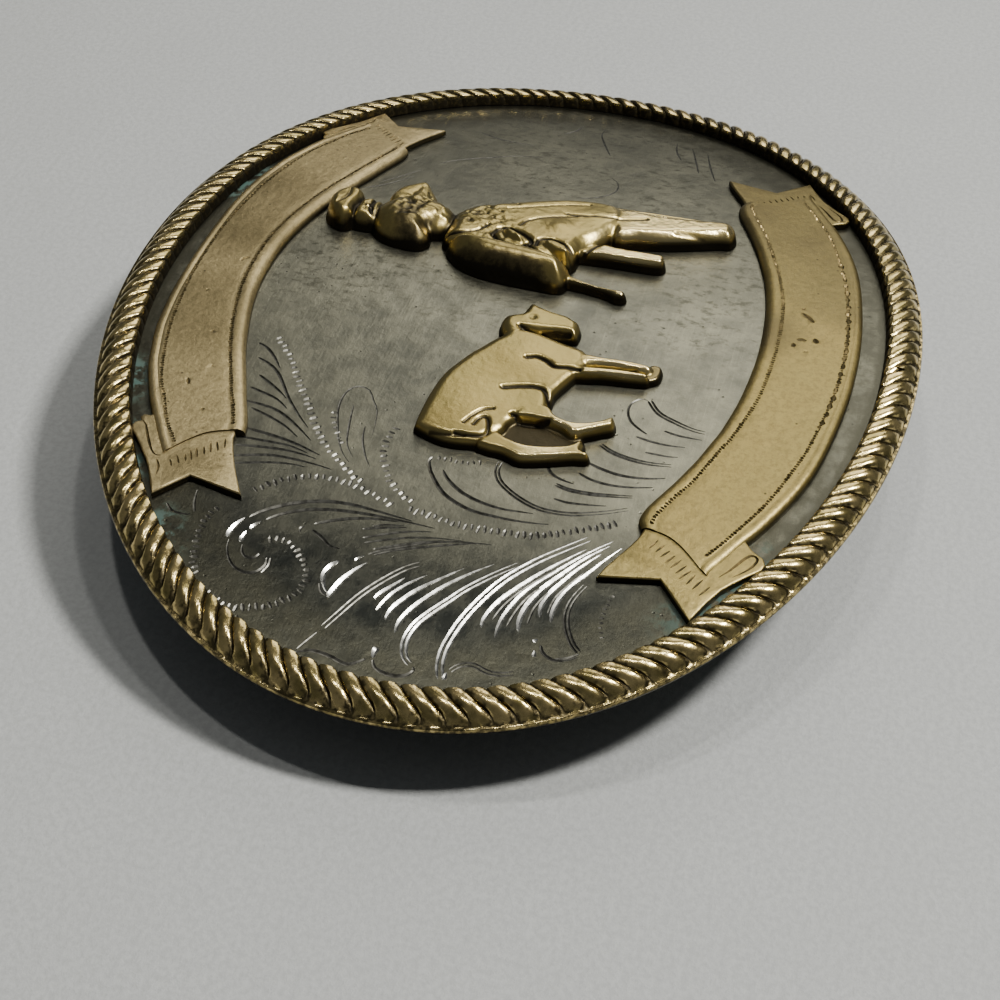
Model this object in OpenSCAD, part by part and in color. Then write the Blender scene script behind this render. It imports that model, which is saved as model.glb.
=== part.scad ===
// Western belt buckle: a bent oval plate with a rope edge, two ribbons, a calf and a
// horse with its rider on the face, and a hook post and a belt loop on the back.
// X runs along the buckle to the viewer's right as it is worn, Y up, Z out of the face.
// The buckle lies on its back: the post's tip and the loop's bar stand at Z = 0.

/* [Plate] */
// Length over the rope edge
buckle_l = 100; // [94:0.5:106]
// Width over the rope edge
buckle_w = 74.6; // [72:0.1:80]
// Squareness of the oval, 2 for a true ellipse
oval_power = 2.05; // [2:0.01:2.3]
// Radius that the face is bent to, about the Y axis
face_r = 240; // [200:5:320]
// Thickness of the plate
plate_t = 1.6; // [1.2:0.1:2]
// Step from the rope's outer edge in to the plate's edge
rim_step = 0.4; // [0.2:0.1:0.8]
// Height of the middle of the face over the surface that the buckle lies on
face_z = 11.6; // [11.4:0.1:14]

/* [Rope edge] */
// Width of the rope edge, skirt included
rope_w = 3.4; // [2.6:0.1:4]
// Height of the rope over the face
rope_h = 1.7; // [1.2:0.1:2.2]
// Height of the smooth skirt under the rope
skirt_h = 0.45; // [0.3:0.05:0.8]
// Width of the skirt's ledge outside the rope
skirt_w = 0.3; // [0.1:0.05:0.5]

/* [Ribbons] */
// Thickness of the ribbons
ribbon_h = 0.85; // [0.5:0.05:1.2]
// Fall of a folded tail under its ribbon
tail_drop = 0.25; // [0.1:0.05:0.4]

/* [Figures] */
// Height of the horse at its neck
horse_h = 3; // [2:0.1:3.6]
// Height of the calf at its rump and shoulder
calf_h = 1.4; // [1:0.1:2]

/* [Back] */
// Width of the strap that the loop takes
strap_w = 38; // [30:1:40]
// Diameter of the loop's wire
wire_d = 2.6; // [2.2:0.1:2.8]
// Distance of the loop's outer bar from the middle
bar_x = 33; // [31:0.5:34]
// Distance of the loop's root from the middle
root_x = 12; // [10:0.5:14]
// Diameter of the hook post
post_d = 4.2; // [3.6:0.1:5]
// Distance of the hook post from the middle
post_x = 30; // [26:0.5:34]

/* [Hidden] */

// Gap between a piece and the plate that it is fixed to
seat = 0.1;
// Side room of the strap in its loop
strap_room = 2;
// Depth to which the relief outlines start below the middle of the face
sink = 6;
// Height over the middle of the face that clears every piece
clear_z = 5;

gold = [0.74, 0.62, 0.36];
nickel = [0.55, 0.55, 0.52];
steel = [0.62, 0.62, 0.60];

// A point of the oval at angle t, moved inwards by inset
function power(v, p) = sign(v) * pow(abs(v), p);
function oval(t, inset) =
    let (x = buckle_l / 2 * power(cos(t), 2 / oval_power),
         y = buckle_w / 2 * power(sin(t), 2 / oval_power),
         nx = power(cos(t), 2 - 2 / oval_power) / (buckle_l / 2),
         ny = power(sin(t), 2 - 2 / oval_power) / (buckle_w / 2),
         n = norm([nx, ny]))
    [x - inset * nx / n, y - inset * ny / n];

// Height of the bent face, or of a layer h above it, at a distance x from the middle
function face_at(x, h) = face_z - face_r + sqrt(pow(face_r + h, 2) - x * x);

// Height of an arc of radius r whose highest point is at y
function arc_y(y, r, x) = y - r + sqrt(r * r - x * x);

// Everything below a layer h above the bent face
module under(h) {
    translate([0, 0, face_z - face_r])
        rotate([90, 0, 0])
            cylinder(r = face_r + h, h = 2 * buckle_w, center = true, $fn = 360);
}

// The children's outline raised from below the face to a layer h above it
module raised(h) {
    intersection() {
        translate([0, 0, face_z - sink]) linear_extrude(sink + clear_z) children();
        under(h);
    }
}

// Base plate

plate_steps = 120;

module base_plate() {
    color(nickel) difference() {
        intersection() {
            translate([0, 0, face_z - 2 * sink])
                linear_extrude(2 * sink + clear_z)
                    polygon([for (i = [0 : plate_steps - 1])
                        oval(360 * (i + 0.5) / plate_steps, rim_step)]);
            under(0);
        }
        under(-plate_t);
    }
}

// Rope edge: one half-round section swept round the oval on the bent face

rope_rings = 96;
crown_steps = 8;

// Section of the rope edge, from its outer foot over the crown to its inner foot:
// distance in from the outer edge, height over the face
rope_section = concat(
    [[0, seat], [0, skirt_h]],
    [for (k = [0 : crown_steps])
        let (a = 180 * k / crown_steps, half = (rope_w - skirt_w) / 2)
        [skirt_w + half - half * cos(a), skirt_h + (rope_h - skirt_h) * sin(a)]],
    [[rope_w, seat]]);

function rope_point(t, s) =
    let (p = oval(t, s[0]), a = p[0] / face_r)
    [p[0], p[1], face_at(p[0], s[1] * cos(a * 180 / PI))];

module rope_edge() {
    side = len(rope_section);
    points = [for (i = [0 : rope_rings - 1], s = rope_section)
        rope_point(360 * (i + 0.5) / rope_rings, s)];
    faces = [for (i = [0 : rope_rings - 1], k = [0 : side - 1])
        let (j = (i + 1) % rope_rings, m = (k + 1) % side)
        each [[i * side + k, i * side + m, j * side + m],
              [i * side + k, j * side + m, j * side + k]]];
    color(gold) polyhedron(points, faces, convexity = 6);
}

// Ribbons: a band between two arcs with a folded swallowtail at each end

band_steps = 16;

// Outline of the band between its two arcs, out to x = end
function band(inner, outer, end) = concat(
    [for (i = [0 : band_steps])
        let (x = -end + 2 * end * i / band_steps) [x, arc_y(inner[0], inner[1], x)]],
    [for (i = [0 : band_steps])
        let (x = end - 2 * end * i / band_steps) [x, arc_y(outer[0], outer[1], x)]]);

// The left tail of each ribbon: x, y of its corners from the inner root to the outer root
top_tail = [
    [-23.0, 19.6],  // root, hidden under the band
    [-25.2, 19.4],  // inner root
    [-28.2, 18.1],
    [-31.4, 16.5],  // inner tip
    [-30.3, 21.5],  // notch
    [-33.0, 24.0],  // outer tip
    [-30.2, 25.2],
    [-27.6, 27.2],
    [-25.6, 28.5],  // outer end of the fold
    [-24.6, 28.2],
    [-23.0, 27.0]]; // root, hidden under the band
bottom_tail = [
    [-24.0, 18.0],  // root, hidden under the band
    [-26.1, 17.2],  // inner root
    [-28.4, 16.5],
    [-32.5, 14.7],  // inner tip
    [-30.8, 19.9],  // notch
    [-34.8, 22.8],  // outer tip
    [-32.0, 23.6],
    [-30.0, 24.9],
    [-28.4, 26.8],
    [-27.2, 27.5],  // outer end of the fold
    [-26.3, 27.0],
    [-24.0, 25.6]]; // root, hidden under the band

// inner and outer: height of the arc's highest point and its radius
module ribbon(inner, outer, end, tail) {
    color(gold) difference() {
        union() {
            raised(ribbon_h) polygon(band(inner, outer, end));
            raised(ribbon_h - tail_drop) {
                polygon(tail);
                mirror([1, 0]) polygon(tail);
            }
        }
        under(seat);
    }
}

module top_ribbon() {
    ribbon([24.8, 56], [32.1, 68], 24.3, top_tail);
}

module bottom_ribbon() {
    mirror([0, 1, 0]) ribbon([22.5, 58], [31.4, 61], 25.3, bottom_tail);
}

// Horse and rider: outlines in layers, each as high as that part stands over the face

horse_parts = [
    // part, share of the horse's height, corners
    ["neck and head", 1.0, [[3.8, -2.2], [3.6, 1], [3.9, 5], [4.7, 7.5], [6.5, 9.2], [8.7, 9.8],
                            [9.8, 6], [9.2, 0], [8.4, -2.9], [6.3, -3.4], [4.6, -3.1]]],
    ["trunk", 0.72, [[8, 9.4], [12.4, 10.3], [15.4, 7], [17.8, 3.2], [19, -0.6], [19.4, -4.6],
                     [18.6, -7.4], [14.4, -6.2], [12.4, -4.4], [10, -2.8], [8, -2.6]]],
    ["hind leg", 0.58, [[14.2, -5.2], [19.2, -4.6], [19.8, -9], [20.2, -14.8], [19.8, -16.9],
                        [17.2, -17], [16.4, -15.6], [15.4, -10.8]]],
    ["second foreleg", 0.55, [[9.7, -2.3], [12.2, -3.4], [12, -10.2], [11, -11.1], [10, -10.6]]],
    ["near foreleg", 0.46, [[5, -2.6], [7, -3], [5.7, -8.2], [4.9, -9], [4, -8.5]]],
    ["tail", 0.36, [[18.6, 0.4], [19.9, -3], [20.7, -9], [20.9, -15.6], [20.2, -15], [19.3, -6]]],
    ["rider's leg", 0.9, [[9.4, 6], [12.3, 5], [12, 2], [11.2, -1], [10.2, -2.5], [8.6, -1.6],
                          [9.1, 1.4]]],
    ["rider's trunk", 0.85, [[6.3, 12.1], [6.5, 14.7], [8.1, 17], [10.6, 17.9], [13, 17.3],
                             [14.6, 15.6], [13.9, 12], [12.8, 9.2], [9.3, 9], [8.9, 11.4],
                             [7.6, 11.5]]],
    ["rider's rear arm", 0.48, [[12.8, 16.2], [16.1, 16.1], [17.7, 14.3], [15.6, 13.2],
                                [12.8, 12.2]]],
    ["rider's head", 0.7, [[8, 17.6], [7.9, 19.4], [9.4, 20.4], [11, 19.4], [11, 17.4]]],
    ["rider's hat", 0.82, [[6.9, 19.1], [7.9, 20.6], [9.3, 22.2], [11.4, 22.4], [12.6, 21],
                           [13, 19.4], [10, 19.2]]]];

module horse_and_rider() {
    color(gold) difference() {
        union() {
            for (part = horse_parts) raised(part[1] * horse_h) polygon(part[2]);
        }
        under(seat);
    }
}

// Calf: its whole outline in one layer, with the rump and the shoulder standing higher

calf_outline = [
    [-20.6, -2.2], [-20.7, 0.2], [-20.5, 2.4], [-19.9, 3.9], [-18.6, 4.6],    // rump
    [-15.4, 4.7], [-12, 4.1], [-9.6, 3.1], [-7, 1.6], [-5.2, 0.5],            // back
    [-4.4, 1.1], [-3.2, 1.3], [-2.2, 0.4], [-1.2, -0.5], [0.3, -0.9],         // ears
    [-0.6, -2.2], [-1, -4.2], [-1.7, -6], [-2.8, -6.6], [-3.8, -5.8],         // head
    [-4.9, -5.4], [-5.5, -8], [-5.6, -12.6], [-5.4, -14.1],                   // chest and foreleg
    [-7.6, -14], [-8.1, -11], [-9, -8.1],                                     // back of the foreleg
    [-11, -7.2], [-13, -6.3], [-14.8, -6.4],                                  // belly
    [-15.5, -8.4], [-14.5, -10.6], [-14, -12], [-15.4, -12.1],                // near hind leg
    [-17, -9.9], [-18.3, -10.2], [-18.5, -11],                                // between the legs
    [-19.8, -10.8], [-20.4, -8.4], [-21, -5.8]];                              // far hind leg
// x, y and radius of the rump and the shoulder
calf_rounds = [[-16.4, 0.4, 3.6], [-9.2, -1.6, 3.2]];
calf_low = 0.8;

module calf() {
    color(gold) difference() {
        union() {
            raised(calf_low * calf_h) polygon(calf_outline);
            raised(calf_h)
                for (r = calf_rounds) translate([r[0], r[1]]) circle(r = r[2], $fn = 48);
        }
        under(seat);
    }
}

// Belt loop: a frame of round wire on a foot under the plate, with its outer bar on the ground

loop_half = strap_w / 2 + strap_room / 2 + wire_d / 2;
// The root of the loop lies this far under the plate, inside the foot
root_depth = 1.7;
root_z = face_at(root_x, -plate_t) - seat - root_depth;
foot_l = 7;
foot_w = 14;
// Metal under the root's balls at the bottom of the foot
foot_skin = 0.3;
// How far a corner's ball stands proud of the wire
corner_extra = 0.15;
ball_r = wire_d / 2 + corner_extra;

module wire(a, b) {
    d = b - a;
    translate(a)
        rotate([0, acos(d[2] / norm(d)), atan2(d[1], d[0])])
            cylinder(d = wire_d, h = norm(d), $fn = 48);
}

module belt_loop() {
    corners = [[bar_x, loop_half, ball_r], [bar_x, -loop_half, ball_r],
               [root_x, -loop_half, root_z], [root_x, loop_half, root_z]];
    color(steel) union() {
        for (i = [0 : 3]) {
            wire(corners[i], corners[(i + 1) % 4]);
            translate(corners[i]) sphere(r = ball_r, $fn = 48);
        }
        intersection() {
            translate([root_x - foot_l / 2, -foot_w / 2, root_z - ball_r - foot_skin])
                cube([foot_l, foot_w, sink]);
            under(-plate_t - seat);
        }
    }
}

// Hook post: a straight round post with a chamfered tip on a round foot with a flat underside

foot_r = 4.5;
// Thinnest edge of the foot
foot_rim = 0.6;
tip_chamfer = 0.6;
foot_z = face_at(post_x + foot_r, -plate_t) - seat - foot_rim;

module hook_post() {
    color(steel) intersection() {
        translate([-post_x, 0, 0]) rotate_extrude($fn = 64)
            polygon([[0, 0], [post_d / 2 - tip_chamfer, 0], [post_d / 2, tip_chamfer],
                     [post_d / 2, foot_z], [foot_r, foot_z], [foot_r, face_z], [0, face_z]]);
        under(-plate_t - seat);
    }
}

base_plate();
rope_edge();
top_ribbon();
bottom_ribbon();
horse_and_rider();
calf();
belt_loop();
hook_post();
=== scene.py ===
import math
from contextlib import contextmanager

import bpy
import numpy as np
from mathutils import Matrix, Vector


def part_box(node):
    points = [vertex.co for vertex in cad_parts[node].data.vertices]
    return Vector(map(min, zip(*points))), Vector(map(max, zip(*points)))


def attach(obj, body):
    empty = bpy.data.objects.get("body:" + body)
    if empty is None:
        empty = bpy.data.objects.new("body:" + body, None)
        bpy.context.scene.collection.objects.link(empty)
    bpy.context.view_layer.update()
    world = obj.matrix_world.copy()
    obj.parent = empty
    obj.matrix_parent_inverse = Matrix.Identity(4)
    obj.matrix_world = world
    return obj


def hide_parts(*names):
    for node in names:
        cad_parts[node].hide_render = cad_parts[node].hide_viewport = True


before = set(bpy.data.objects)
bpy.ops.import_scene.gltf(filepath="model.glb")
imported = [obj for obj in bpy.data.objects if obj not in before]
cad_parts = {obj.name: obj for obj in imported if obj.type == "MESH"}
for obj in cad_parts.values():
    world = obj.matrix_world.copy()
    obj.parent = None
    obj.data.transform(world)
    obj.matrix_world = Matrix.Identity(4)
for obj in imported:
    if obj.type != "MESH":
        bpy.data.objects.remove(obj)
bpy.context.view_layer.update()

mm = 0.001
tiny = 0.002 * mm
finer = 0.2 * tiny

# the bent oval that every piece of the face follows, as the frame has it
_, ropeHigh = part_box("rope_edge")
_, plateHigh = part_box("base_plate")
oval = {
    "halfLength": ropeHigh.x,
    "halfWidth": ropeHigh.y,
    "power": 2.05,
    "steps": 7200,
    "faceTop": plateHigh.z,
    "bendRadius": 240 * mm,
    "seat": 0.1 * mm,         # gap between a piece and the plate under it
}


# small helpers

def line(*numbers):
    # the points of a line, from their x and y in turn
    return list(zip(numbers[::2], numbers[1::2]))


def lines(fields, *rows):
    # each row: some fields, then the x and y of each point of its line
    return [(*row[:fields], line(*row[fields:])) for row in rows]


def pick(*pieces):
    if bpy.context.mode != "OBJECT":
        bpy.ops.object.mode_set(mode="OBJECT")
    bpy.ops.object.select_all(action="DESELECT")
    for piece in pieces:
        piece.select_set(True)
    bpy.context.view_layer.objects.active = pieces[0]


@contextmanager
def editing(piece):
    # edit mode with the whole piece selected
    pick(piece)
    bpy.ops.object.mode_set(mode="EDIT")
    bpy.ops.mesh.select_all(action="SELECT")
    yield bpy.ops.mesh
    bpy.ops.object.mode_set(mode="OBJECT")


def readPoints(piece):
    co = np.empty(len(piece.data.vertices) * 3)
    piece.data.vertices.foreach_get("co", co)
    return co.reshape(-1, 3)


def writePoints(piece, co):
    piece.data.vertices.foreach_set("co", np.ascontiguousarray(co).ravel())
    piece.data.update()


def addSheet(columns, rows):
    # a flat sheet, its points, and the column and the row that each of them stands in
    bpy.ops.mesh.primitive_grid_add(x_subdivisions=columns, y_subdivisions=rows, size=1)
    piece = bpy.context.object
    co = readPoints(piece)
    column = np.rint((co[:, 0] + 0.5) * columns).astype(int)
    row = np.rint((co[:, 1] + 0.5) * rows).astype(int)
    return piece, co, column, row


def setNumbers(piece, name, values):
    # one number for each point, which a finish reads
    layer = piece.data.attributes.new(name, "FLOAT", "POINT")
    layer.data.foreach_set("value", np.asarray(values, np.float32))


def scaleTo(piece, *scale):
    piece.scale = scale
    pick(piece)
    bpy.ops.object.transform_apply(location=True, rotation=True, scale=True)


def addModifier(piece, kind, **settings):
    modifier = piece.modifiers.new(kind.lower(), kind)
    for key, value in settings.items():
        setattr(modifier, key, value)
    pick(piece)
    bpy.ops.object.modifier_apply(modifier=modifier.name)


def combine(piece, operation, other, **settings):
    # joins the other piece, cuts it out or keeps what is inside it, and removes it
    addModifier(piece, "BOOLEAN", operation=operation, solver="MANIFOLD", object=other, **settings)
    bpy.data.objects.remove(other)


def cleanMesh(piece, merge=tiny):
    with editing(piece) as mesh:
        mesh.remove_doubles(threshold=merge)
        mesh.normals_make_consistent(inside=False)


def splitLarge(piece):
    # faces with many corners become triangles
    with editing(piece) as mesh:
        mesh.select_mode(type="FACE")
        mesh.select_face_by_sides(number=4, type="GREATER", extend=False)
        mesh.quads_convert_to_tris(ngon_method="CLIP")
        mesh.select_mode(type="VERT")


def closeMesh(piece, sides=16):
    # slivers that a cut left are dissolved, loose edges removed, pinholes filled
    with editing(piece) as mesh:
        mesh.dissolve_degenerate(threshold=finer)
        mesh.delete_loose()
        mesh.select_all(action="SELECT")
        mesh.fill_holes(sides=sides)


def smoothShade(piece, degrees):
    pick(piece)
    bpy.ops.object.shade_smooth_by_angle(angle=math.radians(degrees))


def dress(piece, finish):
    piece.data.materials.clear()
    piece.data.materials.append(finish)


def named(piece, name):
    piece.name = name
    piece.data.name = name
    return piece


# mapping from flat work to the bent face

def layOnFace(piece):
    # x, y and a height over the face, all flat, go onto the bent face
    co = readPoints(piece)
    r = oval["bendRadius"]
    angle = co[:, 0] / r
    co[:, 0] = (r + co[:, 2]) * np.sin(angle)
    co[:, 2] = (r + co[:, 2]) * np.cos(angle) - r + oval["faceTop"]
    writePoints(piece, co)


def runAlong(x, y):
    # the length run so far at each point of a path
    return np.concatenate([[0], np.cumsum(np.hypot(np.diff(x), np.diff(y)))])


def ovalEdge(angle):
    # points of the rope's outer edge, with a normal and the normal's length
    c, s, p = np.cos(angle), np.sin(angle), oval["power"]
    raised = lambda v, e: np.sign(v) * np.abs(v) ** e
    a, b = oval["halfLength"], oval["halfWidth"]
    nx, ny = raised(c, 2 - 2 / p) / a, raised(s, 2 - 2 / p) / b
    return a * raised(c, 2 / p), b * raised(s, 2 / p), nx, ny, np.hypot(nx, ny)


def ovalTable():
    # points and outward normals of the rope's outer edge, and the length run so far
    x, y, nx, ny, n = ovalEdge(np.linspace(-math.pi / 2, 1.5 * math.pi, oval["steps"] + 1))
    return x, y, nx / n, ny / n, runAlong(x, y)


def layOnOval(piece):
    # x is the run round the oval from the bottom middle, y the way in, z the height
    x, y, nx, ny, run = ovalTable()
    co = readPoints(piece)
    at = lambda v: np.interp(np.mod(co[:, 0], run[-1]), run, v)
    flatX, flatY = at(x) - at(nx) * co[:, 1], at(y) - at(ny) * co[:, 1]
    r = oval["bendRadius"]
    z = oval["faceTop"] - r + np.sqrt(r * r - flatX ** 2) + co[:, 2] * np.cos(flatX / r)
    writePoints(piece, np.stack([flatX, flatY, z], 1))


# camera, floor and lights

view = {
    "place": (-153.4, -33.4, 122.9),      # mm
    "turn": (49.31, -2.40, -75.26),       # degrees
    "lens": 73.3,
    "sensor": 36,
    "nearest": 10 * mm,
}


def makeCamera():
    bpy.ops.object.camera_add(location=[v * mm for v in view["place"]],
                              rotation=[math.radians(v) for v in view["turn"]])
    camera = bpy.context.object
    camera.data.lens = view["lens"]
    camera.data.sensor_width = view["sensor"]
    camera.data.clip_start = view["nearest"]
    bpy.context.scene.camera = camera
    print("camera placed")


floorLook = {"size": 3.0, "columns": 8, "colour": (0.39, 0.40, 0.39), "roughness": 0.7}

lamps = [
    # name, place in mm, width and length in mm, power in W, colour; each aims at the buckle
    ("key", (60, -300, 520), (65, 85), 5.2, (1, 0.98, 0.94)),
    ("window", (555, 5, 460), (340, 340), 1.04, (1, 0.97, 0.90)),
    ("ceiling", (38, 100, 640), (26, 34), 0.75, (1, 0.98, 0.94)),
    ("far ceiling", (120, -75, 640), (16, 40), 0.65, (1, 0.98, 0.94)),
]
lampTarget = (0, 0, 10)       # mm
room = {"Color": (0.62, 0.65, 0.68, 1), "Strength": 0.16}


def makeStage():
    bpy.ops.mesh.primitive_grid_add(x_subdivisions=floorLook["columns"],
                                    y_subdivisions=floorLook["columns"], size=floorLook["size"])
    floor = named(bpy.context.object, "floor")
    dress(floor, paleFloor())
    for name, place, size, power, colour in lamps:
        aim = Vector(lampTarget) - Vector(place)
        bpy.ops.object.light_add(type="AREA", location=[v * mm for v in place],
                                 rotation=aim.to_track_quat("-Z", "Y").to_euler())
        lamp = bpy.context.object
        lamp.name = name
        lamp.data.shape = "RECTANGLE"
        lamp.data.size, lamp.data.size_y = (v * mm for v in size)
        lamp.data.energy = power
        lamp.data.color = colour
    world = bpy.data.worlds.new("room")
    bpy.context.scene.world = world
    world.use_nodes = True
    for key, value in room.items():
        world.node_tree.nodes["Background"].inputs[key].default_value = value
    print("floor and lights made")


# finishes: every pattern reads the piece's own coordinates, in metres

def newFinish(name):
    finish = bpy.data.materials.new(name)
    finish.use_nodes = True
    kit = {"finish": finish, "nodes": finish.node_tree.nodes, "links": finish.node_tree.links}
    kit["shader"] = kit["nodes"]["Principled BSDF"]
    kit["coords"] = kit["nodes"].new("ShaderNodeTexCoord")
    return kit


def addNode(kit, kind, **settings):
    node = kit["nodes"].new("ShaderNode" + kind)
    for key, value in settings.items():
        setattr(node, key, value)
    return node


def setInput(kit, socket, value):
    # a socket is linked, a number or a colour is set
    if isinstance(value, bpy.types.NodeSocket):
        kit["links"].new(value, socket)
    elif isinstance(value, tuple) and len(value) == 3:
        socket.default_value = (*value, 1)
    else:
        socket.default_value = value


def texture(kit, kind, size, stretch=(1, 1, 1), turn=0):
    # a texture whose features are about size mm across
    place = addNode(kit, "Mapping")
    place.inputs["Rotation"].default_value = (0, 0, math.radians(turn))
    place.inputs["Scale"].default_value = [s / (size * mm) for s in stretch]
    setInput(kit, place.inputs["Vector"], kit["coords"].outputs["Object"])
    node = addNode(kit, "Tex" + kind)
    node.inputs["Scale"].default_value = 1
    setInput(kit, node.inputs["Vector"], place.outputs["Vector"])
    return node


def noise(kit, size, detail, rough=0.5, **layout):
    node = texture(kit, "Noise", size, **layout)
    node.inputs["Detail"].default_value = detail
    node.inputs["Roughness"].default_value = rough
    return node.outputs["Fac"]


def cells(kit, size):
    return texture(kit, "Voronoi", size).outputs["Distance"]


def ramp(kit, value, low, high, atLow=0, atHigh=1):
    node = addNode(kit, "MapRange", interpolation_type="SMOOTHSTEP")
    setInput(kit, node.inputs["Value"], value)
    for key, number in zip(("From Min", "From Max", "To Min", "To Max"),
                           (low, high, atLow, atHigh)):
        node.inputs[key].default_value = number
    return node.outputs["Result"]


def sums(kit, operation, value, *others):
    # the operation on the value and each of the others in turn
    for other in others or (0,):
        node = addNode(kit, "Math", operation=operation)
        setInput(kit, node.inputs[0], value)
        setInput(kit, node.inputs[1], other)
        value = node.outputs["Value"]
    return value


def times(kit, *values):
    return sums(kit, "MULTIPLY", *values)


def plus(kit, *values):
    return sums(kit, "ADD", *values)


def layered(kit, colour, *layers):
    # each layer's colour lies over those before it, as far as its share says
    for share, over in layers:
        node = addNode(kit, "Mix", data_type="RGBA")
        setInput(kit, node.inputs["Factor"], share)
        setInput(kit, node.inputs[6], colour)
        setInput(kit, node.inputs[7], over)
        colour = node.outputs[2]
    return colour


def bump(kit, *heights):
    # each height is a pattern and its depth in mm, from the finest to the coarsest
    normal = kit["shader"].inputs["Normal"]
    for value, depth in reversed(heights):
        node = addNode(kit, "Bump")
        node.inputs["Strength"].default_value = 1
        node.inputs["Distance"].default_value = depth * mm
        setInput(kit, node.inputs["Height"], value)
        setInput(kit, normal, node.outputs["Normal"])
        normal = node.inputs["Normal"]


def paint(kit, colour, roughness, metallic=1):
    for name, value in (("Base Color", colour), ("Roughness", roughness),
                        ("Metallic", metallic)):
        setInput(kit, kit["shader"].inputs[name], value)
    return kit["finish"]


def attribute(kit, name):
    return addNode(kit, "Attribute", attribute_name=name).outputs["Fac"]


def axes(kit, kind="Object"):
    # X, Y and Z of the piece's own coordinates or of its normal
    node = addNode(kit, "SeparateXYZ")
    setInput(kit, node.inputs[0], kit["coords"].outputs[kind])
    return node.outputs


def wallShare(kit, low, high):
    # 1 on steep walls, 0 on the flats
    return ramp(kit, axes(kit, "Normal")["Z"], low, high, 1, 0)


def rimShare(kit, near, far):
    # 1 up to near mm in from the edge of the oval, 0 beyond far mm
    place = axes(kit)
    parts, slopes = [], []
    for axis, half in (("X", oval["halfLength"] / mm), ("Y", oval["halfWidth"] / mm)):
        share = sums(kit, "DIVIDE", place[axis], half * mm)
        slope = sums(kit, "DIVIDE", share, half / 2)
        parts.append(times(kit, share, share))
        slopes.append(times(kit, slope, slope))
    way = sums(kit, "DIVIDE", sums(kit, "SUBTRACT", 1, plus(kit, *parts)),
               sums(kit, "SQRT", plus(kit, *slopes)))
    return ramp(kit, way, near, far, 1, 0)


def footShare(kit, low, high):
    # 1 up to low mm over the face, 0 above high mm
    place = axes(kit)
    z = plus(kit, place["Z"], oval["bendRadius"] - oval["faceTop"])
    away = plus(kit, times(kit, place["X"], place["X"]), times(kit, z, z))
    height = sums(kit, "SUBTRACT", sums(kit, "SQRT", away), oval["bendRadius"])
    return ramp(kit, height, low * mm, high * mm, 1, 0)


def nearShare(kit, x, y, reach):
    # 1 at a place on the face, 0 further than reach mm from it
    flat = addNode(kit, "Mapping")
    flat.inputs["Scale"].default_value = (1, 1, 0)
    setInput(kit, flat.inputs["Vector"], kit["coords"].outputs["Object"])
    node = addNode(kit, "VectorMath", operation="DISTANCE")
    setInput(kit, node.inputs[0], flat.outputs["Vector"])
    node.inputs[1].default_value = (x * mm, y * mm, 0)
    return ramp(kit, node.outputs["Value"], 0.3 * reach * mm, reach * mm, 1, 0)


def alongShare(kit, first, last):
    # 0 at the first x in mm and 1 at the last one
    low, high = sorted((first, last))
    ends = (0, 1) if first < last else (1, 0)
    return ramp(kit, axes(kit)["X"], low * mm, high * mm, *ends)


nickelLook = {
    "dark": (0.12, 0.12, 0.095),
    "light": (0.32, 0.31, 0.225),
    "tarnishAndShade": (0.074, 0.072, 0.051),
    "verdigris": (0.035, 0.075, 0.063),
    "nearEndShade": (0.024, 0.026, 0.023),
    "pits": (0.03, 0.03, 0.025),
    "roughness": (0.30, 0.42),
    # x, y and reach in mm of the green crusts beside the rope and the tails
    "crusts": [(-28, 28.5, 6), (-37, 23, 5), (-31, -26, 9), (-20, 32, 5), (14, 33, 6)],
}


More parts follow.
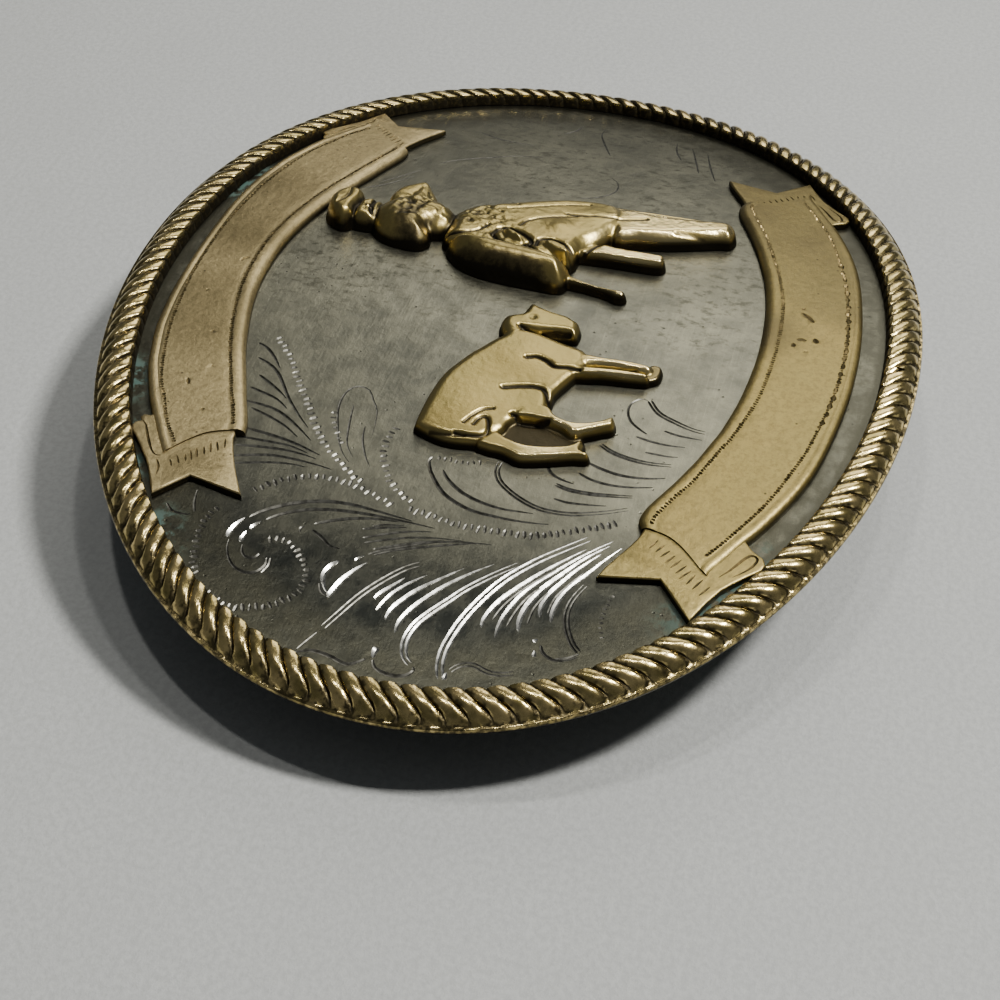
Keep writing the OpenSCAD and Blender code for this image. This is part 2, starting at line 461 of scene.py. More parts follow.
def plateNickel():
    c = nickelLook
    kit = newFinish("antiqued_nickel")
    broad = ramp(kit, noise(kit, 14, 3, 0.55), 0.35, 0.68)
    cloudy = ramp(kit, noise(kit, 2.4, 6, 0.65), 0.3, 0.7)
    grain = noise(kit, 0.22, 4, 0.7)
    brushA = noise(kit, 0.16, 2, stretch=(0.03, 1, 1), turn=24)
    brushB = noise(kit, 0.22, 2, stretch=(0.04, 1, 1), turn=-52)
    brushed = times(kit, ramp(kit, brushA, 0.45, 0.75), ramp(kit, brushB, 0.3, 0.7), 0.22)
    worn = plus(kit, times(kit, broad, 0.4), times(kit, cloudy, 0.4), brushed)
    # painted shade: the near end of the plate is darker
    shaded = times(kit, alongShare(kit, -24, -37), ramp(kit, cloudy, 0, 1, 0.98, 0.82))
    fine = noise(kit, 0.75, 6, 0.65, stretch=(1, 0.6, 1), turn=30)
    blots = times(kit, ramp(kit, fine, 0.48, 0.68), alongShare(kit, -16, 4), 0.8,
                  ramp(kit, noise(kit, 13, 2), 0.36, 0.60, 0.2, 1))
    # old polish and dirt lie along the rope, thick beside it and thin further in; the narrow gutter
    # right by the rope also gets painted shade
    patchy = ramp(kit, noise(kit, 2.2, 7, 0.65), 0.35, 0.6, 0.5, 1)
    grime = times(kit, rimShare(kit, 7, 11), patchy, 0.9)
    gutterDirtAndShade = plus(kit, rimShare(kit, 3.5, 5), ramp(kit, cloudy, 0, 1, -0.2, 0.2))
    patches = sums(kit, "MAXIMUM", *(nearShare(kit, *crust) for crust in c["crusts"]))
    crust = times(kit, rimShare(kit, 5.5, 8), patches,
                  ramp(kit, noise(kit, 1.6, 8, 0.75), 0.45, 0.56))
    pits = times(kit, ramp(kit, cells(kit, 1.1), 0.05, 0.13, 1, 0),
                 ramp(kit, noise(kit, 7, 2), 0.5, 0.6))
    colour = layered(kit, c["dark"], (worn, c["light"]),
                     # darker towards the far end
                     (times(kit, alongShare(kit, -3, 12), 0.3), c["tarnishAndShade"]),
                     (shaded, c["nearEndShade"]), (blots, c["tarnishAndShade"]), (grime, c["tarnishAndShade"]),
                     # dirt and painted shade in the gutter by the rope
                     (ramp(kit, gutterDirtAndShade, 0.25, 0.75, 0, 0.9), c["tarnishAndShade"]),
                     (crust, c["verdigris"]), (times(kit, pits, 0.8), c["pits"]))
    rough = plus(kit, ramp(kit, grain, 0.2, 0.8, *c["roughness"]), times(kit, crust, 0.4))
    bump(kit, (grain, 0.006), (brushA, 0.006), (cloudy, 0.02), (pits, -0.03))
    return paint(kit, colour, rough, ramp(kit, crust, 0.3, 0.9, 1, 0.1))


# the engraving: polished and lit with a painted highlight at the near end, plain in the wriggle
# lines, else black with polish and painted shade
cutLook = {
    # darkest and lightest colour, roughness
    "polished_lit": ((0.34, 0.335, 0.30), (0.78, 0.77, 0.71), 0.24),
    "plain": ((0.08, 0.078, 0.066), (0.20, 0.195, 0.17), 0.42),
    "blackened_shaded": ((0.045, 0.044, 0.038), (0.11, 0.108, 0.094), 0.42),
}


def cutNickel(name):
    dark, light, roughness = cutLook[name]
    kit = newFinish(name + "_cuts")
    cloudy = ramp(kit, noise(kit, 0.55, 5), 0.35, 0.62)
    bump(kit, (noise(kit, 0.15, 3), 0.004))
    return paint(kit, layered(kit, dark, (cloudy, light)), roughness)


goldLook = {
    "pink": (0.88, 0.68, 0.30),
    "worn": (0.36, 0.29, 0.105),
    "warm": (0.40, 0.31, 0.11),
    "dull": (0.27, 0.21, 0.078),
    "dusky": (0.50, 0.403, 0.215),
    "rubbedAndLit": (0.93, 0.75, 0.35),
    "brown": (0.14, 0.112, 0.052),
    "dark": (0.026, 0.022, 0.014),
    "cutDark": (0.05, 0.04, 0.018),
    "cutLight": (0.20, 0.15, 0.065),
}
goldRoughness = {
    "rope": (0.21, 0.6),      # clean and in the grooves
    "ribbon": (0.36, 0.48),   # least and greatest, as for the cuts
    "cuts": (0.6, 0.4),
    "figure": (0.31, 0.19),   # worn and rubbed
    "figureDirt": 0.08,       # added in the hollows
}


def ropeGold():
    c = goldLook
    kit = newFinish("rope_gold")
    cloudy = ramp(kit, noise(kit, 1.6, 5), 0.3, 0.7)
    # the groove numbers hold dirt in the grooves, and painted shade on one flank of each strand, on
    # the skirt and on the inner wall
    dirt = plus(kit, attribute(kit, "groove"), ramp(kit, noise(kit, 0.5, 5), 0.35, 0.7, -0.25, 0.2))
    black = ramp(kit, dirt, 0.4, 0.9)
    colour = layered(kit, c["worn"], (cloudy, c["pink"]), (ramp(kit, dirt, 0.05, 0.5), c["brown"]),
                     (black, c["dark"]))
    bump(kit, (noise(kit, 0.2, 4), 0.008), (cloudy, 0.02))
    return paint(kit, colour, ramp(kit, black, 0, 1, *goldRoughness["rope"]))


def ribbonGold(dullness, dusk, browned):
    # shares of dull and of dusky gold, and x, y and reach of the brown patches
    c = goldLook
    kit = newFinish("satin_gold")
    broad = ramp(kit, noise(kit, 9, 3), 0.3, 0.7)
    cloudy = ramp(kit, noise(kit, 1.1, 6, 0.65), 0.3, 0.7)
    grain = noise(kit, 0.16, 4, 0.7)
    mottle = ramp(kit, noise(kit, 0.5, 6, 0.7), 0.42, 0.66)
    uneven = ramp(kit, broad, 0, 1, 0.4, 0.8)
    colour = layered(kit, c["worn"], (broad, c["warm"]),
                     (ramp(kit, cloudy, 0, 1, dullness, dullness + 0.3), c["dull"]),
                     (dusk, c["dusky"]), (times(kit, mottle, 0.4), c["brown"]),
                     *((times(kit, nearShare(kit, *patch), uneven), c["brown"])
                       for patch in browned),
                     (ramp(kit, cells(kit, 1.9), 0.03, 0.08, 0.8, 0), c["dark"]),
                     # steep walls darkened: dark metal and painted shade
                     (times(kit, wallShare(kit, 0.15, 0.45), 0.9), c["dark"]))
    bump(kit, (grain, 0.009), (cloudy, 0.022))
    return paint(kit, colour, ramp(kit, grain, 0.3, 0.7, *goldRoughness["ribbon"]))


def ribbonCut():
    kit = newFinish("ribbon_cuts")
    cloudy = ramp(kit, noise(kit, 0.8, 4), 0.4, 0.7)
    colour = layered(kit, goldLook["cutDark"], (cloudy, goldLook["cutLight"]))
    return paint(kit, colour, ramp(kit, cloudy, 0, 1, *goldRoughness["cuts"]))


def figureGold(mottle, foot):
    # how unevenly the dark metal is rubbed off, and the heights in mm that the dark metal and
    # painted shade at the foot fade between
    c = goldLook
    kit = newFinish("figure_gold")
    broad = ramp(kit, noise(kit, 5, 3), 0.3, 0.7)
    cloudy = ramp(kit, noise(kit, 0.9, 6, 0.65), 0.3, 0.7)
    hollow = attribute(kit, "patinaAndShade")
    patinaAndShade = plus(kit, hollow, ramp(kit, cloudy, 0, 1, -0.3 * mottle, 0.5 * mottle))
    # dark metal, with painted shade on the walls and at the foot
    dirt = sums(kit, "MAXIMUM", ramp(kit, patinaAndShade, 0.1, 0.8), footShare(kit, *foot))
    # crests and spots under 0 are rubbed bright: wear with a painted highlight
    rubbedAndLit = ramp(kit, hollow, -0.38, -0.08, 1, 0)
    colour = layered(kit, c["worn"], (broad, c["warm"]),
                     (ramp(kit, cloudy, 0, 1, 0, 1.5 * mottle), c["dull"]),
                     (times(kit, rubbedAndLit, 0.75), c["rubbedAndLit"]), (ramp(kit, dirt, 0, 0.5), c["brown"]),
                     (ramp(kit, dirt, 0.3, 0.9), c["dark"]))
    bump(kit, (noise(kit, 0.14, 4, 0.7), 0.005), (cloudy, 0.012))
    return paint(kit, colour, plus(kit, ramp(kit, rubbedAndLit, 0, 1, *goldRoughness["figure"]),
                                   ramp(kit, dirt, 0, 1, 0, goldRoughness["figureDirt"])))


hardwareLook = {
    "dark": (0.36, 0.355, 0.33),
    "light": (0.6, 0.59, 0.55),
    "roughness": (0.26, 0.42),
}


def tumbledNickel():
    kit = newFinish("tumbled_nickel")
    cloudy = ramp(kit, noise(kit, 3, 5), 0.3, 0.7)
    grain = noise(kit, 0.3, 4, 0.7)
    bump(kit, (grain, 0.01), (cloudy, 0.02))
    return paint(kit, layered(kit, hardwareLook["dark"], (cloudy, hardwareLook["light"])),
                 ramp(kit, grain, 0.3, 0.7, *hardwareLook["roughness"]))


def paleFloor():
    kit = newFinish("pale_floor")
    shade = lambda share: tuple(share * v for v in floorLook["colour"])
    grain = noise(kit, 0.6, 5, 0.7)
    clouds = layered(kit, shade(0.96), (ramp(kit, noise(kit, 12, 4), 0.3, 0.7), shade(1)))
    bump(kit, (grain, 0.09))
    return paint(kit, layered(kit, shade(0.84), (ramp(kit, grain, 0.35, 0.65), clouds)),
                 floorLook["roughness"], 0)


# rope edge: one strand of the twisted rope, repeated along the run and laid on the oval

rope = {
    "width": 3.4 * mm,
    "height": 1.58 * mm,
    "skirtHeight": 0.42 * mm,
    "skirtWidth": 0.3 * mm,
    "strands": 147.45,        # the odd part makes the uneven strand at the seam
    "phases": (-1, -0.86, -0.5, -0.1, 0.3, 0.65, 0.88, 1),   # points across a strand
    "grooveDepth": 0.40 * mm,
    "roundness": (2.2, 3.6),  # of a strand outside, and what it gains on the way in
    "middle": 0.6,            # height over the skirt's at which the strands are centred
    "twist": 2.55 * mm,       # run of a groove between the outer and the inner foot
    "start": 0.93 * mm,       # run of the first groove past the seam
    "seamGap": 0.06 * mm,
    "spare": 2,               # strands past the seam at each end, cut off there
    "chamfer": (0.06 * mm, 0.1 * mm),     # way in and drop at the skirt's outer edge
    # how sharply dirt fades out of a groove; painted shade on one flank of each strand: share, how
    # sharply it fades
    "dirt": (7, 0.85, 1.5),
    "shadeAngle": 50,
    # the crown from outside to inside: share of the width, of the height and of the groove
    "crown": [(0.03, 0.24, 0.5), (0.10, 0.48, 1), (0.20, 0.73, 1.1), (0.31, 0.90, 1.1),
              (0.43, 0.99, 1.05), (0.56, 1, 0.95), (0.70, 0.96, 0.85), (0.83, 0.90, 0.75),
              (0.92, 0.81, 0.6), (0.97, 0.46, 0.4)],
}


def ropeSection():
    # way in, height, share of the groove, share of the twist, dirt; on the skirt and the inner wall
    # it also holds painted shade
    wide, high = rope["width"], rope["height"]
    skirt, ledge, foot = rope["skirtWidth"], rope["skirtHeight"], oval["seat"]
    edge, drop = rope["chamfer"]
    crown = [(skirt + (wide - skirt) * way, ledge + (high - ledge) * up, groove, 0.5 - way,
              0.9 if way > 0.95 else 0) for way, up, groove in rope["crown"]]
    return [(0, foot, 0, 0.5, 0.6), (0, ledge - drop, 0, 0.5, 0.42),
            (edge, ledge, 0, 0.5, 0.40), (skirt, ledge, 0, 0.5, 0.5), *crown,
            (wide, foot, 0, -0.5, 1), (wide / 2, foot, 0, 0, 1), (0, foot, 0, 0.5, 0.6)]


def makeRope():
    run = ovalTable()[4][-1]
    pitch = run / rope["strands"]
    section = ropeSection()
    piece, co, column, row = addSheet(len(rope["phases"]) - 1, len(section) - 1)
    named(piece, "rope")
    middle = rope["skirtWidth"] + (rope["width"] - rope["skirtWidth"]) / 2
    outer, gain = rope["roundness"]
    fade, flankShade, flankShadeFade = rope["dirt"]
    ropeDirtAndShade = []
    for i in range(len(co)):
        way, height, groove, twist, dirt = section[row[i]]
        phase = rope["phases"][column[i]]
        # strands are round outside and flattened towards the plate
        cut = groove * rope["grooveDepth"] * abs(phase) ** (outer + gain * way / rope["width"])
        dx, dz = way - middle, height - rope["skirtHeight"] * rope["middle"]
        n = math.hypot(dx, dz)
        co[i] = (pitch * (phase + 1) / 2 + twist * rope["twist"] + rope["start"],
                 way - cut * dx / n, height - cut * dz / n)
        # how deep in a groove the point lies, for the dirt, and painted shade on one flank of each
        # strand
        deep = min(1, 2 * groove)
        ropeDirtAndShade.append(max(dirt, deep * abs(phase) ** fade,
                           flankShade * deep * max(0, phase) ** flankShadeFade))
    writePoints(piece, co)
    setNumbers(piece, "groove", ropeDirtAndShade)
    count = math.ceil(rope["strands"]) + 2 * rope["spare"]
    addModifier(piece, "ARRAY", count=count, use_relative_offset=False,
                use_constant_offset=True, constant_offset_displace=(pitch, 0, 0),
                use_merge_vertices=True, merge_threshold=tiny)
    co = readPoints(piece)
    co[:, 0] -= rope["spare"] * pitch
    writePoints(piece, co)
    cleanMesh(piece)
    gap = rope["seamGap"] / 2
    with editing(piece) as mesh:
        for place, way in ((gap, -1), (run - gap, 1)):
            mesh.select_all(action="SELECT")
            mesh.bisect(plane_co=(place, 0, 0), plane_no=(way, 0, 0), use_fill=True,
                        clear_outer=True)
    layOnOval(piece)
    cleanMesh(piece, merge=0.1 * tiny)
    smoothShade(piece, rope["shadeAngle"])
    dress(piece, ropeGold())
    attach(piece, "root")
    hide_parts("rope_edge")
    print("rope edge made,", len(piece.data.polygons), "faces")


# graver cuts: three-sided bars along a line, taken out of a flat piece before it is bent

graver = {
    "slope": 0.55,            # depth of a cut over its half width
    "lift": 0.06 * mm,        # how far a cutter stands over the metal
    "traceScale": 1.0075,
    "curveSteps": 12,         # points between two drawn ones
    "measureSteps": 50,       # points that a wriggle line's length is measured with
    "strokeSteps": (9, 2),    # points along a stroke, and how many more for each drawn one
    "apart": 0.02 * mm,       # cutters further apart than twice this are joined into one
    "neck": 0.02 * mm,        # half width of the bar between two ticks, over nothing at all
    "arms": (0.8, 1.2),       # least and greatest share of a tick's length
    "press": (0.75, 1.3),     # least and greatest share of its width
    # along a tick of a wriggle line: place from -1 to 1 and share of the width
    "tick": ((-1, 0), (-0.6, 0.9), (0.2, 1), (1, 0)),
}


def curvePart(a, b, c, d, t):
    # a rounded line from b to c, with a before them and d after them
    return 0.5 * (2 * b + (c - a) * t + (2 * a - 5 * b + 4 * c - d) * t ** 2
                  + (3 * b - a - 3 * c + d) * t ** 3)


def smoothPath(points, count):
    # evenly spaced points on a rounded line through the given ones, and its length
    p = np.asarray(points, float)
    ends = np.vstack([2 * p[0] - p[1], p, 2 * p[-1] - p[-2]])
    t = np.linspace(0, 1, graver["curveSteps"])[:, None]
    path = np.vstack([curvePart(*ends[i:i + 4], t) for i in range(len(p) - 1)])
    run = runAlong(*path.T)
    s = np.linspace(0, run[-1], count)
    return np.stack([np.interp(s, run, v) for v in path.T], 1), run[-1]


def traced(points):
    # points in mm as they were drawn, in metres on the piece
    return np.asarray(points) * graver["traceScale"] * mm


def sideways(path):
    d = np.gradient(path, axis=0)
    d /= np.hypot(d[:, 0], d[:, 1])[:, None]
    return np.stack([-d[:, 1], d[:, 0]], 1)


def cutterBar(path, half, top, slope):
    # path in metres, half the width of the cut at each point, top of the metal
    lift = graver["lift"]
    half = np.maximum(half, -lift / slope)
    wide = half + lift / slope
    piece, co, i, row = addSheet(len(path) - 1, 3)
    edge = row % 3
    reach = np.choose(edge, [wide[i], 0 * wide[i], -wide[i]])
    co[:, :2] = path[i] + sideways(path)[i] * reach[:, None]
    co[:, 2] = top + np.where(edge == 1, -slope * half[i], lift)
    writePoints(piece, co)
    return piece


def strokeCutter(points, width, top, skew, taper=0.75, slope=graver["slope"], shift=0):
    # a swelling stroke, thickest near its first point when skew is under 1
    least, each = graver["strokeSteps"]
    count = least + each * len(points)
    path = smoothPath(traced(points), count)[0]
    swell = np.sin(np.pi * np.linspace(0, 1, count) ** skew).clip(0) ** taper
    half = width * mm / 2 * swell
    half[0] = half[-1] = -graver["lift"] / slope
    return cutterBar(path + sideways(path) * shift * mm, half, top, slope)


def wriggleCutter(points, top, pitch, reach, width, slant=0.12, slope=graver["slope"]):
    # a wriggle line: short ticks across the line, joined over the metal into one bar
    trace = traced(points)
    length = smoothPath(trace, graver["measureSteps"])[1]
    ticks = max(2, int(length / (pitch * mm)))
    path = smoothPath(trace, 2 * ticks + 1)[0][1::2]
    across = sideways(path)
    along = np.stack([across[:, 1], -across[:, 0]], 1)
    base = -graver["lift"] / slope
    hand = np.random.default_rng(len(path))
    bar, half = [], []
    for k, place in enumerate(path):
        way = 1 if k % 2 else -1
        arm = (across[k] * way + along[k] * slant) * reach * mm / 2 * hand.uniform(*graver["arms"])
        press = hand.uniform(*graver["press"])
        for share, h in graver["tick"]:
            bar.append(place + arm * share)
            half.append(h * press * width * mm / 2 if h else base + graver["neck"])
    half[0] = half[-1] = base
    return cutterBar(np.array(bar), np.array(half), top, slope)


def cutAway(piece, cutters, finish):
    # cutters whose boxes don't meet are joined and cut in one go, and leave their finish behind
    groups = []
    for cutter in cutters:
        co = readPoints(cutter)[:, :2]
        low, high = co.min(0) - graver["apart"], co.max(0) + graver["apart"]
        for boxes, members in groups:
            if all((high < l).any() or (low > h).any() for l, h in boxes):
                break
        else:
            boxes, members = [], []
            groups.append((boxes, members))
        boxes.append((low, high))
        members.append(cutter)
    for _, members in groups:
        pick(*members)
        if len(members) > 1:
            bpy.ops.object.join()
        cutter = bpy.context.object
        cleanMesh(cutter, 0.5 * tiny)
        dress(cutter, finish)
        combine(piece, "DIFFERENCE", cutter, material_mode="TRANSFER")
    return len(groups)


# base plate: a slab cut to the oval, engraved flat and then bent

plate = {
    "blank": (102 * mm, 77 * mm),
    "thickness": 1.6 * mm,
    "rimStep": 0.4 * mm,
    "edgeSlant": 0.35 * mm,
    "columns": 60,
    "rows": 24,
    "outlineSteps": 240,
    "outlineHeight": 6 * mm,
    # the drawn sizes and those of the cuts: strokes, gaps between pairs, wriggle lines
    "widthScale": 1.08,
    "gapScale": 1.1,
    "wriggleScale": (0.9, 1.3, 0.85),
    "shadeAngle": 12,
}

# x, y of each line in mm, read off the face, from the thick end to the thin one;
# before them the width and the gap between the lines of a pair or 0
brightStrokes = lines(2,
    (0.3, 0.34, -43.95, -2.45, -43.1, -1.5, -41.6, -1.15, -39.9, -1.5, -38.4, -2.35, -36.9, -3.4,
      -35.2, -4.6, -33.1, -6.5, -31.4, -8.3),
    (0.34, 0.42, -44.8, -5.1, -43.7, -4.55, -42, -4.35, -39.9, -4.65, -37.8, -5.25, -35.2, -6.35,
      -33.1, -7.6, -30.9, -9.4, -29.2, -11.1, -27.1, -13.3),
    (0.36, 0, -38.4, 2.55, -37.5, 2.1, -36.7, 1.5, -35.4, 0.55),
    (0.34, 0, -39.6, 2.05, -38.4, 1.65, -37.3, 1.15, -36, 0.2, -34.6, -1.2),
    (0.42, 0, -40.3, 1.05, -39, 0.85, -37.75, 0.2, -36.5, -0.65, -34.8, -2.25, -33.1, -3.95),
    (0.42, 0, -41.4, -0.1, -39.9, -0.15, -38.4, -0.75, -36.9, -1.7, -35.4, -2.8, -33.5, -4.6,
      -32, -6.3),
    (0.5, 0, -38.8, -9.7, -37.55, -9.4, -35.85, -9.6, -33.9, -10.35, -32.2, -11.4, -29.65, -13.1,
      -27.5, -15),
    (0.44, 0, -36.9, -10.95, -35.6, -10.75, -34.1, -11.1, -32.6, -11.85, -30.9, -12.8,
      -28.6, -14.4),
    (0.42, 0, -37.2, -11.95, -36.05, -11.75, -34.55, -11.95, -33.05, -12.5, -31.35, -13.55,
      -29.2, -14.8, -27.5, -15.9),
    (0.5, 0, -39.3, 6, -38.85, 6.1, -37.3, 5.65, -35.85, 4.9, -34.65, 4),
    (0.46, 0, -35.2, 6.3, -35.9, 6.9, -37.05, 7.2, -38.25, 6.7, -38.85, 6.1),
    (0.44, 0, -39.15, -6.7, -38, -6.6, -36.05, -7.3, -34.35, -8.35, -32.2, -9.9, -29.9, -11.85,
      -28.4, -13.2),
    (0.4, 0, -39.9, -7.95, -38, -7.95, -36.2, -8.4, -34.2, -9.25, -32, -10.8, -29, -13.2,
      -26.9, -15.2),
    (0.24, 0, -35, 5.2, -34.6, 5, -34.1, 4.5),
    (0.46, 0, -35.3, 16.15, -34.6, 16.15, -33.6, 15.85, -32.7, 15.35),
    (0.4, 0, -35.5, 14.85, -35, 14.95, -34.1, 14.8),
    (0.36, 0, -33.95, 14.65, -33.4, 14.4, -32.8, 13.95),
    (0.5, 0, -42.75, 0.85, -43.4, 0.9, -43.95, 0.85),
    (0.36, 0, -44.5, -5.15, -44.1, -5.1, -43.7, -5.2),
    (0.34, 0, -40.6, -11.4, -40.2, -11.35, -39.9, -11.3),
    (0.34, 0, -39.2, -11, -38.95, -11.15, -38.8, -11.3))

# lines of an even width, plain metal
evenStrokes = lines(2,
    (0.2, 0.36, -42.4, 5.75, -40.5, 4.8, -38.4, 3.75, -36.5, 2.5, -34.6, 0.9, -33.6, -0.5),
    (0.18, 0, -44.7, 7, -43.6, 6.4, -42.5, 5.8),
    (0.34, 0, -45, 7.2, -44.45, 5.8, -44.6, 4.2, -45, 2.8, -44.5, 1.8, -43.95, 1.25),
    (0.34, 0, -43.9, 0.9, -44.75, 0.4, -45.1, -0.8, -44.9, -2, -44.2, -2.6, -43.85, -2.3),
    (0.2, 0.28, -43.7, -5.25, -42.85, -6, -42.55, -7, -42.9, -8.2, -42.85, -9.3, -42.4, -10.5),
    (0.26, 0, -38.4, 6.1, -38.9, 6.35, -38.6, 6.9, -37.8, 7.3),
    (0.22, 0, -39.3, -14.9, -40, -14, -40.35, -13),
    (0.24, 0, -36.3, 11.95, -37.2, 11.85, -38.2, 12.2),
    (0.22, 0, -33.2, 10.5, -32.7, 10.6, -32.4, 10.3),
    (0.24, 0, -22.7, 2.5, -22.2, 2.45, -21.8, 2.3))

darkStrokes = lines(2,
    (0.3, 0, -36.3, 12.3, -37.2, 12.1, -38.1, 12.6, -38.4, 13.5, -38.1, 14.5, -37.3, 15.3,
      -36.2, 15.8, -35.2, 15.95),
    (0.28, 0, -36.1, 12.9, -36.7, 13.2, -36.85, 13.9, -36.4, 14.45, -35.5, 14.7),
    (0.38, 0, -32.9, 15.3, -31.9, 14.4, -30.9, 13.1, -30, 11.5, -29.35, 9.6, -29.1, 7.6, -29.2, 5.5,
      -29.4, 3.4, -29.6, 1.4),
    (0.34, 0, -32.8, 13.9, -31.8, 12.8, -31, 11.5, -30.4, 10, -30, 8.1, -29.8, 6, -29.75, 4,
      -29.75, 2, -29.85, -0.6),
    (0.24, 0.28, -39.4, -14.95, -38.5, -14, -37, -13.2, -35.5, -12.9, -34, -13.1, -32.2, -13.8),
    (0.3, 0, -39.2, -11.6, -40, -12, -40.45, -12.9, -40.2, -14, -39.6, -14.9),
    (0.22, 0, -33, 5.3, -32.1, 3.4, -31.3, 1.4, -30.8, -0.8, -30.5, -3.2),
    (0.2, 0, -31, 5, -30.5, 3.8, -30.2, 2.2),
    (0.22, 0, -38.2, -7.2, -36.2, -7.85, -34.4, -8.85, -32.4, -10.3, -30.4, -12),
    (0.22, 0, -38.6, -8.5, -36.4, -8.95, -34.4, -9.8, -32.4, -11.4, -30.2, -13.1),
    (0.22, 0, -37.8, -10.1, -35.9, -10.25, -34, -11, -32, -12.2),
    (0.22, 0, -36.4, -11.4, -34.6, -11.6, -33, -12.3, -31, -13.4),
    (0.28, 0, -34.15, 4.55, -33.45, 3.6, -32.5, 1.9, -31.5, 0, -30.9, -1.8, -30.4, -4),
    (0.26, 0, -34.1, 4.15, -33.05, 2.45, -32.2, 0.55, -31.35, -1.6, -30.5, -3.95, -30.3, -5.65),
    (0.3, 0, -32.6, 9.7, -33.2, 8.65, -33.9, 7.7, -34.05, 6.6),
    (0.34, 0, -32.1, 9.85, -31.3, 8.4, -30.55, 6.7, -30.1, 4.8, -29.9, 2.6),
    (0.26, 0, -32.5, 5.5, -31.5, 3.6, -30.7, 1.7, -30.2, -0.3),
    (0.26, 0, -31.5, 5.75, -30.75, 3.6, -30.3, 1.9),
    (0.26, 0, -33.45, 4.3, -32.25, 1.9, -31.4, 0, -30.8, -1.6),
    (0.26, 0, -27.3, 18.9, -26.35, 15.85, -26, 13.9, -26, 12),
    (0.3, 0, -26.5, 19.3, -25.5, 16.1, -25.35, 13.9, -25.5, 11.5, -25.75, 9.85),
    (0.3, 0, -25.1, 19.4, -24.6, 16.1, -24.55, 13.7, -24.9, 11.5),
    (0.28, 0, -24, 19.3, -23.9, 16.1, -23.95, 14.4, -24.45, 12.5),
    (0.32, 0, -22.8, 19.4, -23.15, 16.1, -23.6, 13.9, -24.45, 11.3),
    (0.28, 0, -20.2, 19.6, -21.1, 17.05, -21.8, 15.6, -22.9, 14.05),
    (0.3, 0, -19.5, 20.6, -19.8, 17.75, -20.5, 16.1, -21.7, 14.4, -23.1, 12.7),
    (0.28, 0, -17.7, 20.6, -18.55, 17.75, -19.75, 16.1),
    (0.28, 0, -15.9, 20.3, -17.35, 18, -18.5, 16.6),
    (0.3, 0, -13.65, 21.35, -14.25, 19.9, -15.2, 18.7, -16.65, 17.65, -18.1, 16.7, -20, 15.1,
      -21.7, 13.45),
    (0.28, 0, -11.7, 21.85, -12.3, 20.65, -13.5, 19.5, -14.8, 18.6),
    (0.36, 0, -22, 2.6, -23.4, 2.1, -24.6, 1.3, -25.8, 0.2, -26.6, -1.2, -27.1, -2.8, -27.2, -4.6,
      -27.2, -6.4, -27, -8.4, -26.75, -9.6),
    (0.34, 0, -22.9, 1.2, -24, 0.4, -25, -0.8, -25.6, -2, -26, -3.4, -26.2, -5, -26.1, -6.6,
      -26, -8),
    (0.24, 0.28, -20.5, -3.5, -21.8, -3.4, -23, -3.9, -24, -5, -24.8, -6.4, -25.3, -7.8,
      -25.4, -9.2, -25.2, -10.8, -24.6, -12.6, -24, -14, -23.2, -15.6),
    (0.26, 0, -23.8, -8.7, -24, -10, -23.8, -11.8, -23.45, -13.6),
    (0.26, 0.22, -22.1, -8.4, -22.5, -9.8, -22.5, -11.6, -22.2, -13.6, -21.8, -15.6),
    (0.3, 0, -20, -7.3, -21, -8, -21.5, -9, -21.75, -10.3),
    (0.3, 0, -20.2, -10, -20.8, -11.4, -21, -13, -20.8, -14.8, -20.2, -17),
    (0.34, 0, -18.7, -10.3, -19.3, -12, -19.6, -13.8, -19.4, -15.8, -18.8, -17.8),
    (0.26, 0.26, -16.2, -11, -17, -12.4, -17.4, -14, -17.5, -15.8, -17.2, -18),
    (0.24, 0, -16.2, -15, -16.2, -17, -16, -18.2),
    (0.28, 0, -14.4, -13.8, -14.7, -15.2, -14.8, -16.8, -14.6, -18.6),
    (0.26, 0, -13, -16, -13.3, -17.6, -13.3, -19.8),
    (0.26, 0.3, -9.2, -14, -10.8, -15.2, -11.6, -16.8, -12.2, -18.6, -12.3, -20),
    (0.26, 0, -14, -15, -13.4, -14, -12.6, -13.1, -11.4, -12.6, -10.2, -12.7, -9.4, -13.4,
      -9.5, -14.2),
    (0.26, 0, -32.95, 22.4, -33.7, 21.6, -33.8, 20.4, -33.55, 19.9),
    (0.24, 0, -33.45, 19.7, -32.25, 20.15, -30.8, 20.4))

faintStrokes = lines(2,
    (0.2, 0, -24.8, 8.65, -23.6, 9.85, -21.9, 10.8, -20, 11.5, -18.3, 12, -16.65, 12.1,
      -15.45, 11.75, -14.95, 11.05, -15.2, 10.1, -16.4, 9.35, -17.6, 8.65, -19.3, 8.3,
      -21.45, 8.05),
    (0.2, 0, -17.1, 10.9, -20, 10.45, -22.4, 9.85, -24.1, 8.65),
    (0.2, 0, -19.5, 9.1, -21.45, 8.75, -23.35, 7.9, -24.8, 6.95),
    (0.24, 0, 16.5, 21.2, 18.3, 18.9, 21.5, 16.4),
    (0.22, 0, 18.6, 19.6, 20.5, 18, 23.1, 16.2),
    (0.22, 0, 24.5, 15.4, 26.5, 13.4, 28.4, 10.4, 30, 7.7, 30.6, 4.6),
    (0.2, 0, 34.7, 13.7, 33.7, 11.7, 33.2, 9.3, 33.4, 6.6),
    (0.2, 0, 22.3, 0.4, 23.4, -2, 25.3, -3.5, 27.4, -3.4, 29, -2),
    (0.2, 0, 35.7, -8.7, 38.3, -7.7, 41, -7.3),
    (0.2, 0, 33, -11, 36.4, -10.1, 40.4, -9),
    (0.2, 0, 31.6, -13, 35.2, -11.9, 39.6, -10.8),
    (0.22, 0, 37.6, 4.8, 39.4, 3.6, 41.4, 3.2),
    (0.22, 0, 33.6, -1.4, 36.4, -0.2, 39.4, 0.8, 41.8, 0.6))

